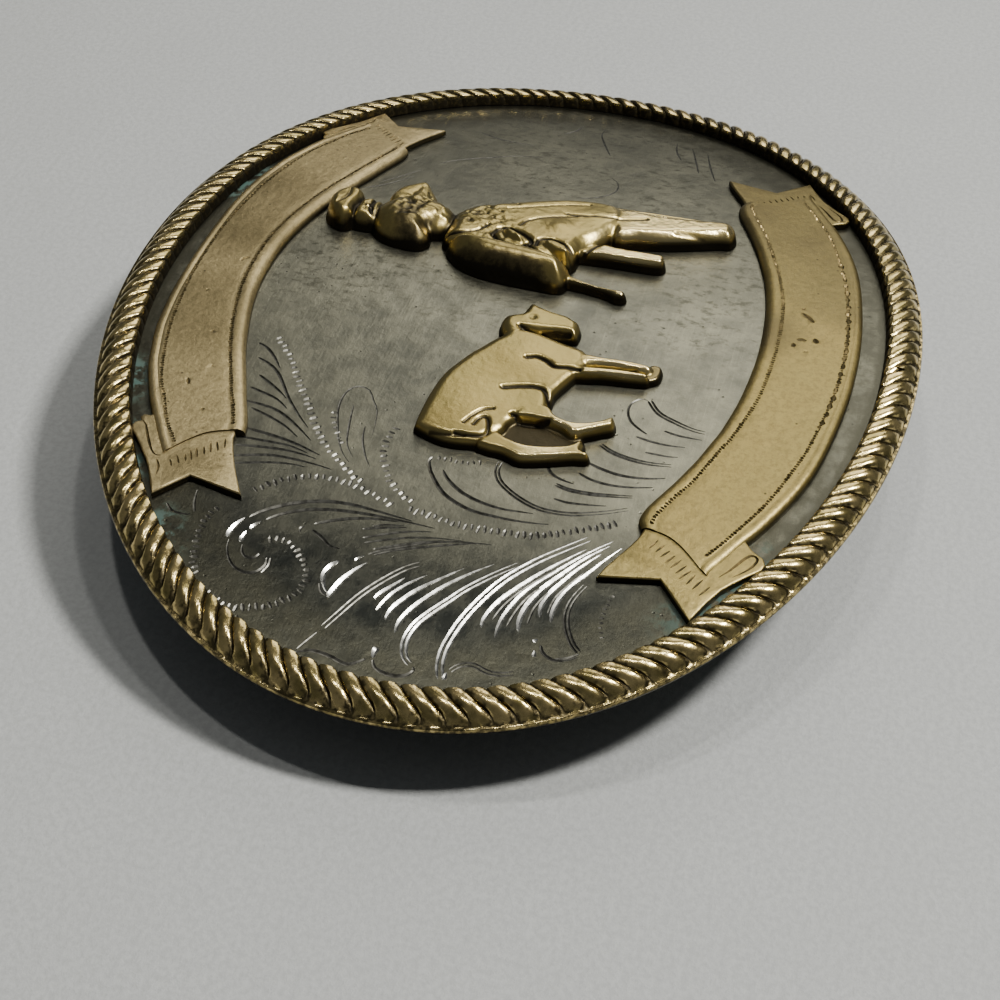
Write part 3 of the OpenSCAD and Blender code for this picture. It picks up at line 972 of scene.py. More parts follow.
# pitch, reach and width of the ticks
wriggleLines = lines(3,
    (0.62, 0.85, 0.36, -28.3, 2.65, -28.6, 0.1, -28.9, -1.6, -28.9, -3.95, -28.7, -6.1, -28.5, -8,
      -27.95, -9.5, -27.1, -11.2, -26.25, -12.9, -25.2, -14.8),
    (0.7, 0.75, 0.4, -10.4, 20.4, -12.8, 18.35, -15.7, 16.55, -18.8, 14.5, -20.95, 13.2,
      -23.1, 11.5, -24.55, 9.85, -25.75, 8.4, -26.5, 7.2),
    (0.66, 0.8, 0.38, -29.85, 15.85, -28.4, 14.4, -27.45, 12.95, -26.85, 11.3, -26.7, 9.6,
      -26.95, 7.7, -27.6, 5.6, -28.3, 3.9),
    (0.66, 0.6, 0.32, -18.55, 12.25, -20, 11.85, -21.45, 11, -22.65, 10.2),
    (0.66, 0.75, 0.36, -19.05, 6.35, -20.95, 6.7, -22.65, 6.5, -24.3, 5.75, -25.65, 5, -26.8, 3.7,
      -27.6, 2.4),
    (0.6, 0.7, 0.34, -39.55, 17.05, -38.5, 17.9, -36.8, 18.35, -35.1, 18.6, -33.7, 18.5,
      -32.25, 18),
    (0.62, 0.75, 0.36, -41, 15.85, -41.7, 14.4, -42, 12.95, -41.6, 11.75, -41.2, 10.55, -40.4, 9.6,
      -39.45, 8.75, -38, 8.4, -36.55, 8.9, -35.35, 9.85, -34.6, 10.8, -34.35, 11.75, -34.6, 12.9),
    (0.5, 0.4, 0.24, -37.55, -16.3, -36.5, -15.85, -34.8, -15.75, -32.8, -16.1),
    (0.55, 0.6, 0.3, -21.9, 2, -21.8, 0.6, -21.8, -0.6, -21.3, -2))

# finish, strokes, where they are thickest, how they taper, their slope, wriggle lines
engraving = [
    ("polished_lit", brightStrokes, 0.6, 0.75, graver["slope"], []),
    ("plain", evenStrokes, 1, 0.35, graver["slope"], wriggleLines),
    ("blackened_shaded", darkStrokes, 0.6, 0.5, graver["slope"], []),
    ("blackened_shaded", faintStrokes, 0.8, 0.75, 0.3, []),
]


def makePlate():
    p = plate
    piece = named(addSheet(p["columns"], p["rows"])[0], "engraved_plate")
    scaleTo(piece, *p["blank"], 1)
    addModifier(piece, "SOLIDIFY", thickness=p["thickness"], offset=-1)
    depth = p["outlineHeight"]
    bpy.ops.mesh.primitive_cylinder_add(vertices=p["outlineSteps"], radius=1, depth=depth)
    prism = bpy.context.object
    co = readPoints(prism)
    x, y, nx, ny, n = ovalEdge(np.arctan2(co[:, 1], co[:, 0]))
    # the wall of the oval slants in towards the back
    below = np.where(co[:, 2] < 0, depth / 2, -depth / 2)
    inset = p["rimStep"] + below * p["edgeSlant"] / p["thickness"]
    co[:, 0] = x - inset * nx / n
    co[:, 1] = y - inset * ny / n
    writePoints(prism, co)
    combine(piece, "INTERSECT", prism)
    dress(piece, plateNickel())
    rounds = 0
    for finish, strokes, skew, taper, slope, wriggles in engraving:
        cutters = [strokeCutter(points, p["widthScale"] * width, 0, skew, taper, slope,
                                side * p["gapScale"] * gap)
                   for width, gap, points in strokes for side in ((-0.5, 0.5) if gap else (0,))]
        cutters += [wriggleCutter(points, 0, *(a * b for a, b in zip(p["wriggleScale"], sizes)))
                    for *sizes, points in wriggles]
        rounds += cutAway(piece, cutters, cutNickel(finish))
    cleanMesh(piece, finer)
    closeMesh(piece)
    splitLarge(piece)
    layOnFace(piece)
    smoothShade(piece, p["shadeAngle"])
    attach(piece, "root")
    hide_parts("base_plate")
    print("plate engraved in", rounds, "rounds,", len(piece.data.polygons), "faces")


# ribbons: a band between its two long edges and the fold lines, and a folded tail at each end

ribbons = {
    "rise": 0.85 * mm,
    "tailDrop": 0.22 * mm,
    "tailBevel": 0.2 * mm,
    "bevelSteps": 3,
    "columns": 132,
    "foldSteps": 41,
    "across": 9,              # columns of the flat middle part
    "flatDrop": 0.05,         # mm, the flat part under the crest of the rolled edges
    "innerRoll": 1.12,        # width of the rolled edges over the widths below
    "outerRoll": 0.84,
    # across a rolled edge: way in and height under its crest, in mm
    "edge": [(0, None), (0.03, 0.52), (0.14, 0.27), (0.34, 0.10), (0.62, 0), (0.98, 0.01),
             (1.26, 0.08), (1.42, 0.05)],
    "slice": 1.5 * mm,        # length of the steps in which the flat faces follow the bend
    "skew": 0.9,              # of every stroke, thickest near its middle
    "shadeAngle": 32,
    "cutSlopes": {"folds": 0.8, "ticks": 0.7},
    "hem": {"pitch": 0.32, "reach": 0.44, "width": 0.31, "slope": 0.8},
    "tooth": {"pitch": 1.18, "reach": 0.62, "width": 0.70, "slant": 0, "slope": 0.62},
}

# both ribbons are drawn from the left end to the middle, and the right end is a mirror of it,
# stretched by rightFold and rightTail; folds, ticks and nicks start with the width of the cut
topRibbon = {
    "node": "top_ribbon",
    "dullness": 0,
    "dusk": 0.8,
    "browned": [(-10, 28, 9), (8, 29, 12), (-30, 21.5, 4)],
    "rightFold": 1.055,
    "rightTail": 1.02,
    "inner": line(-23.9, 18.6, -22.9, 18.75, -21.6, 19.2, -20, 19.85, -18, 20.6, -16, 21.35,
        -14, 22.1, -11, 23, -7, 23.95, -3.5, 24.45, 0, 24.6),
    "outer": line(-28.5, 24.5, -27.6, 25.05, -26.2, 25.9, -24.3, 27, -22.1, 28.2, -20, 29.15,
        -18, 29.95, -16, 30.5, -14, 31, -12, 31.35, -8, 31.75, -4, 31.9, 0, 31.95),
    "fold": line(-23.9, 18.6, -24.4, 20.2, -25.1, 21.65, -26.1, 22.7, -27.2, 23.6, -28.5, 24.5),
    "tail": line(-23.3, 19.9, -24.5, 19.25, -24.9, 19.3, -26.4, 18.75, -28, 18.05, -29.6, 17.2,
        -31.1, 16.35, -30.1, 21.3, -32.9, 23.7, -31.6, 24.35, -30.4, 24.95, -29.2, 25.7,
        -28.4, 26.35, -27.6, 26.95, -26.9, 27.55, -26.3, 28.1, -25.75, 28.35, -25.3, 28.15,
        -25, 27.75, -24.6, 27.95, -24.2, 27.75, -24.2, 27.2, -23.6, 26.4),
    "folds": lines(1,
        (0.26, -24.9, 27.75, -25.5, 27.1, -26.4, 26.6, -27.3, 26.1, -28.2, 25.5, -28.65, 25,
          -28.6, 24.3),
        (0.2, -29, 24.75, -29.9, 24.2, -31, 24.05)),
    "ticks": lines(1,
        (0.2, -29.6, 23.15, -28.8, 23.6),
        (0.2, -29.15, 22.65, -28.2, 23.2),
        (0.2, -28.75, 22.2, -27.9, 22.55),
        (0.2, -28.55, 21.75, -27.3, 22.3),
        (0.2, -28.1, 21.4, -26.9, 21.9),
        (0.2, -27.6, 20.95, -26.6, 21.35),
        (0.2, -27.25, 20.5, -26, 20.95),
        (0.2, -26.9, 19.95, -25.7, 20.5),
        (0.2, -26.4, 19.55, -25.2, 19.9)),
    "innerLine": line(-23.6, 19.8, -21.7, 20.5, -20, 21.25, -18, 22.05, -16, 22.85, -14, 23.6,
        -11, 24.55, -7, 25.45, -3.5, 25.95, 0, 26.1),
    "outerLine": line(-27, 23.85, -25.9, 24.6, -25.25, 25.1, -23.9, 25.85, -22.1, 26.7,
        -20.4, 27.65, -18.7, 28.3, -16.9, 28.85, -15.2, 29.3, -13.5, 29.7, -11.7, 30.05, -8, 30.5,
        -4, 30.85, 0, 30.95),
    "nicks": lines(1,
        (0.3, -1.5, 27.2, -0.9, 27, -0.6, 26.5),
        (0.2, -7, 28.6, -6.6, 28.5),
        (0.34, -19.9, 25.3, -19.5, 25.5, -19, 25.7),
        (0.3, -22.6, 23.2, -22.4, 22.8),
        (0.28, -9.4, 25.1, -9.1, 24.8),
        (0.2, -12.6, 25.9, -12.3, 25.8),
        (0.18, -17.1, 24.2, -16.9, 24.1)),
    "teeth": [],
}

bottomRibbon = {
    "node": "bottom_ribbon",
    "dullness": 0.3,
    "dusk": 0,
    "browned": [(28, -19, 25), (12, -30, 9), (3, -22, 6)],
    "rightFold": 1.035,
    "rightTail": 0.985,
    "inner": line(-25.75, -16.8, -24.8, -16.4, -23.4, -16.65, -21.5, -17.5, -19.8, -18.3,
        -18.1, -19, -16.3, -19.7, -13.7, -20.5, -12, -21, -8, -21.75, -4, -22.15, 0, -22.3),
    "outer": line(-29.7, -23.25, -29, -23.4, -27.6, -24.2, -25.9, -25.1, -24.6, -25.85,
        -23.3, -26.6, -20.7, -27.85, -18.1, -28.9, -15.5, -29.7, -12.3, -30.35, -8, -30.95,
        -4, -31.3, 0, -31.4),
    "fold": line(-25.75, -16.8, -25.95, -18.1, -26.25, -19.2, -26.9, -20.25, -27.9, -21.35,
        -29, -22.4, -29.7, -23.25),
    "tail": line(-24.6, -18.6, -25.3, -17.1, -25.9, -17.05, -26.9, -16.8, -28, -16.3, -29, -15.75,
        -30.7, -14.85, -31.9, -14.4, -30.85, -19.5, -34.5, -22.6, -33.7, -22.95, -32.3, -23.6,
        -30.7, -24.5, -29.7, -25.35, -28.8, -26.2, -28.2, -26.85, -27.75, -27.3, -27.1, -27.5,
        -26.4, -27.2, -26.05, -26.6, -25.7, -26.1, -24.4, -25),
    "folds": lines(1,
        (0.28, -29.6, -23.9, -28.4, -24.8, -27.3, -25.45, -26.6, -25.95, -26.4, -26.4,
          -26.75, -26.75, -27.6, -26.45, -28.5, -25.75, -29.3, -24.9)),
    "ticks": lines(1,
        (0.2, -27.9, -17.9, -26.7, -18.5),
        (0.2, -28.15, -18.5, -27.1, -19.1),
        (0.2, -28.6, -18.95, -27.6, -19.7),
        (0.2, -29.1, -19.5, -28, -20.2),
        (0.2, -29.5, -20, -28.3, -20.8),
        (0.2, -30, -20.5, -28.8, -21.35),
        (0.2, -30.5, -20.9, -29.2, -21.8),
        (0.2, -30.9, -21.6, -29.6, -22.2),
        (0.2, -31.3, -22.15, -29.9, -22.9),
        (0.2, -31.8, -22.8, -30.5, -23.6)),
    "innerLine": line(-25.3, -17.6, -24.4, -17.7, -22.7, -18.4, -21, -19.2, -19.6, -19.9,
        -17.9, -20.5, -16.2, -21.1, -14.8, -21.55, -13, -22.2, -8, -23.35, -4, -23.75, 0, -23.9),
    "outerLine": line(-27.6, -22.6, -25.7, -23.75, -24.9, -24.15, -23.3, -25, -21.5, -25.9,
        -19.8, -26.6, -18.1, -27.2, -16.3, -27.75, -14.1, -28.4, -12.3, -28.8, -8, -29.5,
        -4, -29.95, 0, -30.1),
    "nicks": lines(1,
        (0.46, 5.5, -26.7, 6.3, -26, 7, -25.2),
        (0.44, 1.1, -25.1, 1.4, -25.3, 1.8, -25.2),
        (0.44, 2.35, -25.4, 2.5, -25.8, 2.45, -26.4),
        (0.6, 2.2, -27.2, 2.6, -27.2, 3.1, -27),
        (0.26, 7.3, -25.3, 7.8, -25.4),
        (0.2, 0.6, -26.3, 0.9, -26.7)),
    "teeth": [line(-9.6, -29.4, -6, -29.8, -2, -30.05, 2, -30.05, 6, -29.75, 10, -29.25, 14, -28.45,
        17, -27.6)],
}


def mirrored(points, stretch, reach=22):
    # the right-hand copy of a line, stretched in length beyond the straight part
    out = []
    for x, y in points:
        share = min(1, abs(x) / reach)
        out.append((-x * (1 + (stretch - 1) * share ** 3), y))
    return out


def bandEdges(look):
    # both long edges from end to end, and the fold lines as the ends
    stretch, scale = look["rightFold"], graver["traceScale"] * mm
    wide, steps = ribbons["columns"] + 1, ribbons["foldSteps"]
    edges = [(look[key][:-1] + mirrored(look[key], stretch)[::-1], wide)
             for key in ("inner", "outer")]
    edges += [(look["fold"], steps), (mirrored(look["fold"], stretch), steps)]
    return [smoothPath(np.array(edge) * scale, count)[0] for edge, count in edges]


def bandPoint(edges, i, v):
    # a patch between two long edges and two ends, v runs from the inner edge to the outer one
    inner, outer, left, right = edges
    u = i / (len(inner) - 1)
    at = lambda path: np.array([np.interp(v * (len(path) - 1), np.arange(len(path)), path[:, k])
                                for k in (0, 1)])
    return ((1 - v) * inner[i] + v * outer[i] + (1 - u) * at(left) + u * at(right)
            - (1 - u) * (1 - v) * inner[0] - (1 - u) * v * outer[0]
            - u * (1 - v) * inner[-1] - u * v * outer[-1])


def makeBand(look):
    r = ribbons
    edges = bandEdges(look)
    section = [(way * mm, drop) for way, drop in r["edge"]]
    roll = section[-1][0]
    count = 2 * len(section) + r["across"]
    # two more columns at each end hold the end wall and the foot
    columns = r["columns"] + 2
    piece, co, column, row = addSheet(columns, count - 1)
    for k in range(len(co)):
        i, j = column[k], row[k]
        along = min(max(i - 1, 0), r["columns"])
        width = np.hypot(*(edges[1][along] - edges[0][along]))
        low = r["innerRoll"] * roll / width
        high = 1 - r["outerRoll"] * roll / width
        if j < len(section):
            way, drop = section[j]
            share = r["innerRoll"] * way / width
        elif j >= count - len(section):
            way, drop = section[count - 1 - j]
            share = 1 - r["outerRoll"] * way / width
        else:
            share = low + (high - low) * (j - len(section) + 1) / (r["across"] + 1)
            drop = r["flatDrop"]
        foot = drop is None or i in (0, columns)
        co[k] = (*bandPoint(edges, along, share),
                 oval["seat"] if foot else oval["seat"] + r["rise"] - drop * mm)
    writePoints(piece, co)
    # a flat copy of the sheet closes it underneath
    pick(piece)
    bpy.ops.object.duplicate()
    under = bpy.context.object
    co = readPoints(under)
    co[:, 2] = oval["seat"]
    writePoints(under, co)
    pick(piece, under)
    bpy.ops.object.join()
    cleanMesh(piece)
    return piece


def signedArea(p):
    q = np.roll(p, -1, axis=0)
    return 0.5 * np.sum(p[:, 0] * q[:, 1] - q[:, 0] * p[:, 1])


def makeTail(look, side):
    points = look["tail"] if side < 0 else mirrored(look["tail"], look["rightTail"])[::-1]
    outline = np.array(points) * (graver["traceScale"] * mm)
    bpy.ops.mesh.primitive_circle_add(vertices=len(outline), radius=1, fill_type="NGON")
    piece = bpy.context.object
    co = readPoints(piece)
    order = np.argsort(np.mod(np.arctan2(co[:, 1], co[:, 0]), 2 * math.pi))
    co[order, :2] = outline[::-1] if signedArea(outline) < 0 else outline
    co[:, 2] = oval["seat"]
    writePoints(piece, co)
    height = ribbons["rise"] - ribbons["tailDrop"]
    with editing(piece) as mesh:
        mesh.extrude_region_move(TRANSFORM_OT_translate={"value": (0, 0, height)})
        mesh.bevel(offset=ribbons["tailBevel"], segments=ribbons["bevelSteps"], affect="EDGES")
    cleanMesh(piece, finer)
    return piece


def sliceAcross(piece, step):
    # thin slices let the large flat faces follow the bend
    co = readPoints(piece)
    low, high = co[:, 0].min(), co[:, 0].max()
    splitLarge(piece)
    with editing(piece) as mesh:
        for k in range(1, int((high - low) / step) + 1):
            mesh.select_all(action="SELECT")
            mesh.bisect(plane_co=(low + k * step, 0, 0), plane_no=(1, 0, 0))


def ribbonCutters(look):
    r = ribbons
    top = oval["seat"] + r["rise"] - r["flatDrop"] * mm
    tailTop = oval["seat"] + r["rise"] - r["tailDrop"]
    cutters = []
    for side in (-1, 1):
        turned = lambda points, key: points if side < 0 else mirrored(points, look[key])
        for key, slope in r["cutSlopes"].items():
            cutters += [strokeCutter(turned(points, "rightTail"), width, tailTop, r["skew"],
                                     slope=slope) for width, points in look[key]]
        for key in ("innerLine", "outerLine"):
            cutters.append(wriggleCutter(turned(look[key], "rightFold"), top, **r["hem"]))
    cutters += [wriggleCutter(points, top, **r["tooth"]) for points in look["teeth"]]
    cutters += [strokeCutter(points, width, top, r["skew"]) for width, points in look["nicks"]]
    return cutters


def makeRibbon(look):
    piece = makeBand(look)
    for side in (-1, 1):
        combine(piece, "UNION", makeTail(look, side))
    cutters = ribbonCutters(look)
    dress(piece, ribbonGold(look["dullness"], look["dusk"], look["browned"]))
    rounds = cutAway(piece, cutters, ribbonCut())
    cleanMesh(piece, finer)
    sliceAcross(piece, ribbons["slice"])
    closeMesh(piece)
    layOnFace(piece)
    smoothShade(piece, ribbons["shadeAngle"])
    named(piece, look["node"] + "_band")
    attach(piece, "root")
    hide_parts(look["node"])
    print(look["node"], "made, cut in", rounds, "rounds,", len(piece.data.polygons), "faces")


# calf and horse: a fine sheet lifted into domes over drawn outlines, creased, then cut off flat

relief = {
    "wallSlope": 4,           # rise of the walls over their run
    "softness": 0.10,         # mm, rounding between a wall and its dome
    "margin": 0.6,            # mm of sheet round the outlines
    "depth": 5 * mm,          # of the body under the sheet, cut off at the seat
    "block": (90 * mm, 90 * mm, 5 * mm),
    "ground": -0.8,           # mm, the sheet beside the outlines
    "rounds": 2,              # rounds of smoothing before the creases are cut
    "solid": (0.2, 0.3),      # mm, from where and over what rise the surface work sets in
    "stipple": (0.12, 0.2, 0.5),          # depth and reach in mm, dirt
    "domeReach": 0.8,         # mm past an outline or a crease in which the sheet is reworked
    "creaseReach": 1,
    "creaseSteps": 40,
    "seed": 5,
    "shadeAngle": 65,
    "slice": 2.5 * mm,
    # patina and painted shade: rounds of smoothing, gain, brightest, slope in mm at which walls
    # darken with dark metal and painted shade, by how much
    "blur": (14, 3, 2),
    "gain": 4,
    "crest": -0.12,
    "steep": 1.5,
    "wallDirtAndShade": 0.2,
    "creaseDirt": (3, 0.9, 5),            # over the depth in mm, at most, how hard its edge is
}

# each dome: height, radius of its shoulder, share of the height at which it leaves its wall,
# outline; each crease: depth, width, line; each swell: size, reach, x, y;
# each rough area: size, rounds of smoothing, x, y, reach; each spot of shade and shine: amount, x,
# y, reach, over 0 dark metal with painted shade, under 0 polish with a painted highlight; all in mm
calfLook = {
    "node": "calf",
    "name": "running_calf",
    "mottle": 0.08,
    "foot": (0.25, 1.05),
    "spacing": 0.088,
    "grow": 0.12,
    "domes": lines(3,
        (1.3, 1.1, 0.58, -19.6, 4.3, -19, 4.75, -16.2, 4.7, -13.6, 4.45, -11.8, 4.05, -10.3, 3.4,
          -8.8, 2.7, -7.5, 1.9, -6.3, 1.2, -5.3, 0.5, -4.3, 0.4, -3.9, -1.6, -4.3, -3.4, -4.9, -5.2,
          -5.3, -6.9, -5.9, -7.6, -7.1, -7.9, -8.4, -7.5, -9.9, -6.85, -11.8, -6.1, -12.9, -6,
          -14.1, -6.1, -15, -6.6, -15.7, -5.2, -15.9, -4, -16.9, -3.2, -18, -2.9, -19.1, -2,
          -19.9, -1.2, -20.3, 0.4, -20.3, 2.2),
        (1.15, 0.55, 0.42, -20, -1, -18.3, -2.2, -18.8, -3.6, -19.1, -5.2, -18.8, -7, -18.2, -8.6,
          -17.3, -9.6, -17.7, -10, -18.5, -10, -18.7, -10.7, -19.3, -10.6, -19.6, -9.4, -20.3, -7.6,
          -20.9, -5.8, -21, -4.8, -20.5, -3.4, -20.4, -2),
        (1.3, 0.6, 0.42, -16.6, -2.9, -15.6, -3.2, -14.7, -3.8, -13.9, -5, -14.1, -6.2, -14.9, -6.9,
          -15.3, -8.2, -15.1, -9.4, -14.5, -10.6, -13.7, -11.6, -14.1, -12, -15, -12, -15.7, -11,
          -16.4, -9.9, -17, -8.8, -16.4, -7.6, -16.1, -6, -16, -4.4),
        (0.42, 0.7, 0.9, -19.2, -3, -15.7, -3, -15.7, -7, -16.7, -9.6, -18.2, -9.9, -19.2, -7.5),
        (1.25, 0.45, 0.42, -9, -6.6, -8, -6.8, -7.6, -8.6, -7.3, -10.6, -7.2, -12.9, -7.4, -13.5,
          -7.9, -13.4, -8.2, -11.6, -8.5, -9.4, -8.9, -7.9),
        (1.2, 0.85, 0.42, -8, -5.6, -6.3, -6, -5.7, -7.4, -5.7, -9, -5.55, -11, -5.6, -12.6,
          -5.9, -13.6, -6.7, -13.6, -7, -12.4, -6.9, -10.6, -7.1, -9, -7.6, -7.6, -8.1, -6.6),
        (0.62, 0.4, 0.5, -7.6, -13.2, -5.4, -13.2, -5.1, -14.1, -5.8, -14.5, -7.1, -14.3),
        (1.4, 1, 0.42, -5.1, 0.3, -4.4, 0.9, -3.5, 1.15, -2.6, 1, -2.1, 0.4, -1.7, -0.3,
          -0.9, -0.45, -0.2, -0.6, 0.2, -1.1, -0.2, -1.9, -0.6, -3.2, -0.85, -4.6, -1.45, -5.7,
          -2.2, -6.1, -3.1, -6.1, -3.7, -5.9, -3.75, -4.6, -4, -3, -4.3, -1.6, -5.3, -0.8)),
    "creases": lines(2,
        (0.27, 0.26, -12.8, -1.5, -12.3, -2.8, -12, -4.2, -12.3, -5.2, -13.7, -6),
        (0.32, 0.24, -8.3, -2.5, -8, -3.4, -8.3, -4.4, -8.8, -5.2, -8.6, -6.4, -8.5, -7.4),
        (0.38, 0.26, -4, -0.8, -4.2, -2.2, -4.3, -3.4, -4.7, -5),
        (0.3, 0.2, -3.9, -3, -3.6, -4.2, -3.5, -5.4),
        (0.18, 0.15, -1.9, -0.35, -1.1, -0.6, -0.3, -0.75),
        (0.22, 0.15, -18.3, 0.6, -17.1, 0, -16.3, -0.6, -15.9, -1.4),
        (0.22, 0.17, -19.7, 1, -19.6, -0.6, -19.1, -1.6, -18.1, -1.6, -17.2, -1.2, -17.4, -0.6,
          -18.3, -0.3),
        (0.18, 0.19, -19.9, 3.2, -20, 1.6, -19.7, 0.2),
        (0.3, 0.2, -7.6, -8, -7.2, -10, -6.9, -12.2),
        (0.34, 0.22, -16, -3.2, -16.2, -4.6, -15.9, -6.4)),
    "rough": [(0.0015, 5, -10, 0, 20)],
    "shadeAndShine": [(-0.35, -7, -11, 3), (-0.3, -19.4, -6.6, 2.2), (-0.35, -15.3, -9, 2)],
    "swells": [(0.1, 3, -16.7, 1.6), (0.1, 2.6, -8.2, -2), (-0.08, 2.4, -12.4, -2.6),
        (0.06, 1.3, -2.6, -1.4), (-0.14, 0.35, -2.5, -1.6), (-0.1, 0.25, -1.5, -5.1)],
    "stipple": [],
}

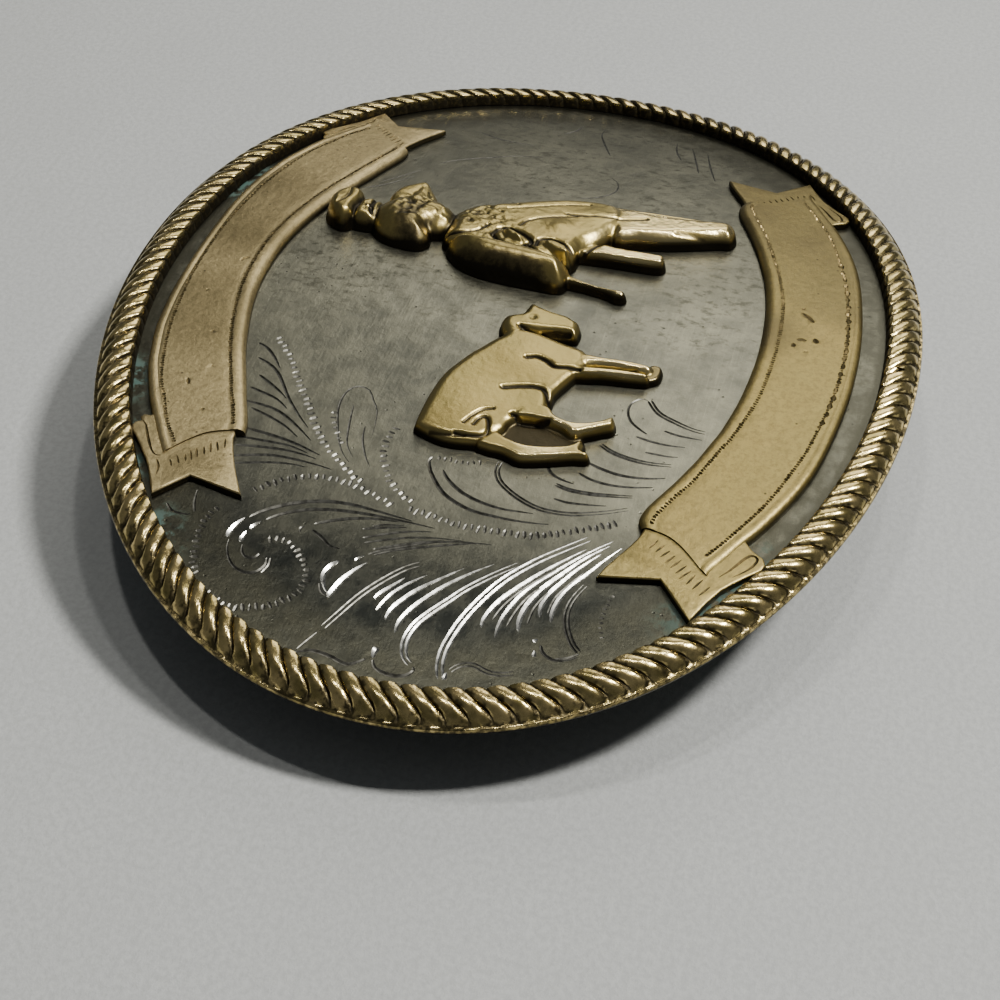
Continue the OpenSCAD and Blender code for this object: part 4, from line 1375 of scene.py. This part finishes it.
# the last nine swells are the brows, eyes, nose, mouth and chin of the small plain face
horseLook = {
    "node": "horse_and_rider",
    "name": "horse_with_rider",
    "mottle": 0.14,
    "foot": (0.45, 1.35),
    "spacing": 0.098,
    "grow": 0.05,
    "domes": lines(3,
        (2.9, 2.3, 0.2, 3.7, -2.6, 3.6, 0, 3.7, 3, 4, 5.5, 4.9, 7.6, 6.2, 8.9, 7.2, 9.4, 8.2, 9,
          8.6, 6, 8.4, 2, 7.6, -1.5, 6.6, -3, 5.2, -3.3),
        (2, 1.7, 0.4, 7.6, 9.6, 10, 10.2, 12.6, 10.2, 14.8, 8.6, 16.6, 5.4, 18.2, 2.4, 19.3, -0.4,
          19.7, -3.2, 19.3, -5.4, 17.6, -6.6, 15.4, -6.6, 13.6, -5.6, 12.2, -4.8, 11, -3.9,
          9.6, -3.3, 7.8, -3, 6.6, -1, 6.6, 5),
        (1.8, 1.3, 0.4, 13.4, -5.8, 14, -8, 14.6, -10.5, 15.6, -13, 16.8, -15.6, 17.2, -16.8,
          18.6, -17.2, 20, -16.6, 20.2, -15, 19.6, -12, 19.2, -9, 19.4, -6, 18.6, -4.5, 16, -4.5),
        (1.4, 0.65, 0.5, 9.7, -3, 9.8, -6, 9.9, -9, 10.1, -10.9, 10.8, -11.5, 11.8, -11.2, 12, -10,
          11.9, -7, 12, -4.4),
        (1.05, 0.55, 0.35, 4.9, -2.8, 4.6, -5, 4.2, -7.1, 3.85, -7.8, 3.8, -8.5, 4.15, -8.95,
          4.75, -8.95, 5.1, -8.4, 5.05, -7.6, 5.2, -6, 5.6, -4.3, 6.1, -2.8),
        (1, 0.6, 0.4, 18.9, 0.6, 19.9, -1.4, 20.3, -4, 20.6, -8, 20.8, -12, 20.9, -15.8,
          20.2, -15.7, 19.6, -12, 19.3, -8, 18.8, -4),
        (2.6, 0.8, 0.6, 8, 2.9, 8.6, 4.3, 9.7, 4.8, 10.3, 4.2, 9.9, 3, 8.9, 1.9, 8.1, 1.6),
        (2.5, 0.8, 0.6, 7.1, -2.6, 7.3, -1, 8.2, 0.4, 9.3, 0.5, 9.6, -0.8, 8.9, -2.3, 7.9, -2.9),
        (2.5, 2.4, 0.25, 6.6, 12.2, 6.5, 14, 7, 15.8, 8.2, 17.2, 10, 18, 12, 17.6, 13.6, 16.4,
          14.6, 14.6, 14.4, 12.4, 13.4, 10.4, 12, 9.4, 10.2, 9.6, 9.2, 10.6, 8.8, 11.4, 7.6, 11.3),
        (1.5, 0.8, 0.4, 12.8, 16.8, 15.4, 17, 17.4, 15.4, 17.9, 14.2, 16.4, 13.2, 14.6, 12.2,
          12.8, 12.4),
        (2.3, 1.1, 0.3, 7.7, 20.2, 8.2, 21.4, 9.4, 22.3, 11, 22.6, 12.6, 22, 13.4, 20.6, 13, 19.3,
          11.6, 18.9, 9.8, 19.2, 8.6, 19.2),
        (1.95, 1.1, 0.35, 8.6, 17.2, 8.3, 18.4, 8.6, 19.6, 10, 20, 11.6, 19.6, 12.4, 18.4, 12, 17,
          10, 16.8)),
    "creases": lines(2,
        (0.34, 0.26, 7.5, 1.4, 8, 2, 8.9, 1.4, 9.8, 2.2, 10.4, 3.2, 10.6, 4.2, 10.2, 5, 9.2, 5.4),
        (0.34, 0.26, 9, 5.2, 8.2, 4.6, 7.7, 3.6, 7.6, 2.6),
        (0.32, 0.24, 8.4, 1.6, 7.4, 0.6, 6.9, -0.8, 6.7, -2.2),
        (0.32, 0.24, 8.6, 0.9, 9.6, 0.8, 9.9, -0.2, 9.6, -1.4, 9, -2.5),
        (0.2, 0.2, 11.6, 3.2, 12.6, 2.8, 13.6, 1.6, 14.4, 0, 15, -1.6),
        (0.22, 0.2, 15.2, -0.6, 15.4, -2.6, 15.8, -4.6, 16.5, -6.4, 17.2, -8.2),
        (0.14, 0.24, 15.9, -11.5, 16.3, -13.5, 16.6, -15.6),
        (0.26, 0.22, 3.9, 4.3, 3.7, 2.4, 3.6, -0.4),
        (0.3, 0.22, 9.6, -3.6, 10.2, -4, 11.2, -4.6, 12.4, -5.4, 13.4, -6.2),
        (0.3, 0.24, 9.3, 17.7, 10.4, 18, 11.9, 17.8),
        (0.09, 0.3, 9.6, 15.6, 9.3, 14.6, 9.6, 13.7, 10.6, 13.2, 12, 12.8),
        (0.08, 0.26, 9, 12.2, 10.2, 11.6, 11.6, 11.2, 12.9, 11),
        (0.08, 0.26, 11.2, 13.9, 12.2, 14.9, 13, 16),
        (0.08, 0.26, 13.4, 15.2, 14.6, 15, 16.2, 14.6),
        (0.08, 0.26, 13.6, 13.4, 15, 13.6, 16.6, 14.1),
        (0.18, 0.18, 8.9, 19.35, 10.4, 19.2, 12.2, 19.3),
        (0.14, 0.16, 9.4, 21.2, 10.8, 20.6, 12.2, 20.7),
        (0.24, 0.2, 8.3, 9.6, 8.6, 8.2, 9.4, 6.9, 10.6, 6.2),
        (0.16, 0.16, 14.3, 5.2, 15.6, 2.6, 16.8, 0.2, 17.6, -2.4)),
    "shadeAndShine": [(0.6, 2.8, 4.6, 3.4), (0.6, 2.6, 0.4, 3.4), (0.5, 4, 8.2, 2.6), (0.4, 10, 14, 4.2),
        (0.3, 9.4, 20.4, 3), (0.28, 12.2, 8, 3), (0.4, 6.6, 13, 1.8), (-0.45, 17.4, -11.4, 4.2),
        (-0.5, 10.8, -8, 3), (-0.4, 4.6, -6.8, 2.6), (-0.4, 20.4, -9, 4)],
    "rough": [(0.006, 5, 12, 2, 25), (0.03, 7, 12.4, 7.4, 3.4), (0.045, 8, 11.6, 13.4, 3.6),
        (0.02, 6, 9, 5, 2.6)],
    "swells": [(0.22, 1.3, 12.6, -0.6), (0.16, 1.8, 15.8, -3.6), (-0.16, 1.1, 11.4, -3.2),
        (0.14, 0.9, 8.7, 13.4), (-0.12, 0.7, 12, 14.4), (0.1, 0.7, 10.4, 21.5),
        (0.07, 0.34, 9.55, 18.75), (0.07, 0.34, 10.75, 18.75), (-0.12, 0.19, 9.6, 18.45),
        (-0.12, 0.19, 10.7, 18.45), (0.16, 0.17, 10.15, 18.3), (0.18, 0.17, 10.15, 18.05),
        (-0.08, 0.14, 9.95, 17.72), (-0.08, 0.14, 10.35, 17.72), (0.08, 0.28, 10.15, 17.4)],
    "stipple": line(11.4, 5.2, 12.6, 6.9, 13.4, 5.6, 14, 8, 12.2, 8.6, 14.8, 6.6, 13, 9.4, 11, 8.2,
        15.4, 4.4, 12, 6, 13.9, 6.9, 12.7, 7.8),
}


def roundOutline(points, steps=7):
    # a closed rounded outline through the drawn corners
    p = np.array(points)
    t = np.arange(steps)[:, None] / steps
    return np.vstack([curvePart(*(p[(i + k) % len(p)] for k in (-1, 0, 1, 2)), t)
                      for i in range(len(p))])


def lineDistance(x, y, path, closed):
    # distance to a line, and for a closed one the way in from it, positive inside
    ends = np.roll(path, -1, axis=0) if closed else path[1:]
    starts = path if closed else path[:-1]
    best = np.full(x.shape, 1e9)
    inside = np.zeros(x.shape, bool)
    for (ax, ay), (bx, by) in zip(starts, ends):
        dx, dy = bx - ax, by - ay
        t = np.clip(((x - ax) * dx + (y - ay) * dy) / (dx * dx + dy * dy + 1e-12), 0, 1)
        best = np.minimum(best, (x - ax - t * dx) ** 2 + (y - ay - t * dy) ** 2)
        if closed:
            cross = (ay > y) != (by > y)
            inside ^= cross & (x < ax + (y - ay) * dx / (dy if dy else 1e-12))
    best = np.sqrt(best)
    return np.where(inside, best, -best) if closed else best


def nearby(x, y, path, margin):
    # which points lie in the path's box or within the margin of it
    low, high = path.min(0) - margin, path.max(0) + margin
    return (x > low[0]) & (x < high[0]) & (y > low[1]) & (y < high[1])


def spot(x, y, px, py, reach):
    # 1 at a place, fading out round it
    return np.exp(-((x - px) ** 2 + (y - py) ** 2) / reach ** 2)


def domeHeight(d, top, radius, shoulder):
    # from the way in from the outline: the lower of wall and dome, rounded where they meet
    rise = np.sin(np.clip(d / radius, 0, 1) * math.pi / 2)
    dome = top * (shoulder + (1 - shoulder) * rise)
    wall = relief["wallSlope"] * d
    soft = relief["softness"]
    least = np.minimum(wall, dome)
    return least - soft * np.log(np.exp(-(wall - least) / soft) + np.exp(-(dome - least) / soft))


def reliefHeight(look, x, y, shape):
    # height over the plate, and how much dark metal the cuts hold
    height = np.full(x.shape, relief["ground"])
    for *sizes, points in look["domes"]:
        outline = roundOutline(points)
        near = nearby(x, y, outline, relief["domeReach"])
        d = lineDistance(x[near], y[near], outline, True) + look["grow"]
        height[near] = np.maximum(height[near], domeHeight(d, *sizes))
    height = blurred(height.reshape(shape), relief["rounds"]).ravel()
    start, rise = relief["solid"]
    solid = np.clip((height - start) / rise, 0, 1)
    hand = np.random.default_rng(relief["seed"])
    for size, rounds, px, py, reach in look["rough"]:
        field = blurred(hand.standard_normal(shape), rounds).ravel()
        away = ((x - px) ** 2 + (y - py) ** 2) / reach ** 2
        height += size / field.std() * field * np.exp(-away ** 2) * solid
    for size, reach, px, py in look["swells"]:
        height += size * spot(x, y, px, py, reach) * solid
    dirt = np.zeros(x.shape)
    depth, reach, dark = relief["stipple"]
    for px, py in look["stipple"]:
        dot = spot(x, y, px, py, reach)
        height -= depth * dot
        dirt += dark * dot
    gain, most, _ = relief["creaseDirt"]
    for depth, width, points in look["creases"]:
        path = smoothPath(points, relief["creaseSteps"])[0]
        near = nearby(x, y, path, relief["creaseReach"])
        cut = np.exp(-(lineDistance(x[near], y[near], path, False) / width) ** 2)
        height[near] -= depth * cut * solid[near]
        dirt[near] = np.maximum(dirt[near], min(most, gain * depth) * cut)
    return height, dirt


def patinaField(look, x, y, height, dirt):
    # dark metal gathers in the hollows, the walls get dark metal and painted shade, and the crests
    # are rubbed bright with a painted highlight
    r = relief
    wide, close = (blurred(height.clip(0), rounds) for rounds in r["blur"][:2])
    slopeY, slopeX = np.gradient(close, look["spacing"])
    steep = np.hypot(slopeX, slopeY)
    walls = np.clip((steep - r["steep"]) / r["steep"], 0, 1) * r["wallDirtAndShade"]
    hollow = blurred(np.clip((wide - close) * r["gain"], r["crest"], 1) + walls, r["blur"][2])
    # spots of dark metal with painted shade, and below 0 of polish with a painted highlight
    for amount, px, py, reach in look["shadeAndShine"]:
        hollow += amount * spot(x, y, px, py, reach)
    return hollow + np.maximum(dirt - hollow, 0) * np.clip(r["creaseDirt"][2] * dirt, 0, 1)


def blurred(field, rounds):
    for _ in range(rounds):
        for axis in (0, 1):
            field = (np.roll(field, 1, axis) + 2 * field + np.roll(field, -1, axis)) / 4
    return field


def sampled(field, column, row):
    # the field between its own points
    i = np.floor(row).astype(int).clip(0, field.shape[0] - 2)
    j = np.floor(column).astype(int).clip(0, field.shape[1] - 2)
    v, u = (row - i).clip(0, 1), (column - j).clip(0, 1)
    return ((field[i, j] * (1 - u) + field[i, j + 1] * u) * (1 - v)
            + (field[i + 1, j] * (1 - u) + field[i + 1, j + 1] * u) * v)


def makeFigure(look):
    corners = np.vstack([dome[-1] for dome in look["domes"]])
    low = corners.min(0) - relief["margin"]
    size = corners.max(0) + relief["margin"] - low
    nx, ny = (int(round(v / look["spacing"])) for v in size)
    piece, co = addSheet(nx, ny)[:2]
    named(piece, look["name"])
    x, y = (low[k] + (co[:, k] + 0.5) * size[k] for k in (0, 1))
    shape = (ny + 1, nx + 1)
    height, dirt = reliefHeight(look, x, y, shape)
    scale = graver["traceScale"] * mm
    writePoints(piece, np.stack([x * scale, y * scale, height * mm + oval["seat"]], 1))
    # the sheet gets a body under it, and all that lies under the seat is cut off
    with editing(piece) as mesh:
        mesh.extrude_region_move(TRANSFORM_OT_translate={"value": (0, 0, -relief["depth"])})
    cleanMesh(piece, finer)
    place = (0, 0, oval["seat"] + relief["block"][2] / 2)
    bpy.ops.mesh.primitive_cube_add(size=1, location=place)
    block = bpy.context.object
    scaleTo(block, *relief["block"])
    combine(piece, "INTERSECT", block)
    sliceAcross(piece, relief["slice"])
    field = patinaField(look, *(v.reshape(shape) for v in (x, y, height, dirt)))
    co = readPoints(piece)
    values = sampled(field, (co[:, 0] / scale - low[0]) / size[0] * nx,
                     (co[:, 1] / scale - low[1]) / size[1] * ny)
    setNumbers(piece, "patinaAndShade", np.clip(values, -1, 1))
    cleanMesh(piece, finer)
    closeMesh(piece)
    layOnFace(piece)
    smoothShade(piece, relief["shadeAngle"])
    dress(piece, figureGold(look["mottle"], look["foot"]))
    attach(piece, "root")
    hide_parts(look["node"])
    print(look["name"], "made,", len(piece.data.polygons), "faces")


def finishHardware():
    # the loop and the post keep the shapes of the CAD
    finish = tumbledNickel()
    for name in ("belt_loop", "hook_post"):
        dress(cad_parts[name], finish)
    print("loop and post finished")


makeCamera()
makeStage()
makeRope()
makePlate()
makeRibbon(topRibbon)
makeRibbon(bottomRibbon)
makeFigure(calfLook)
makeFigure(horseLook)
finishHardware()
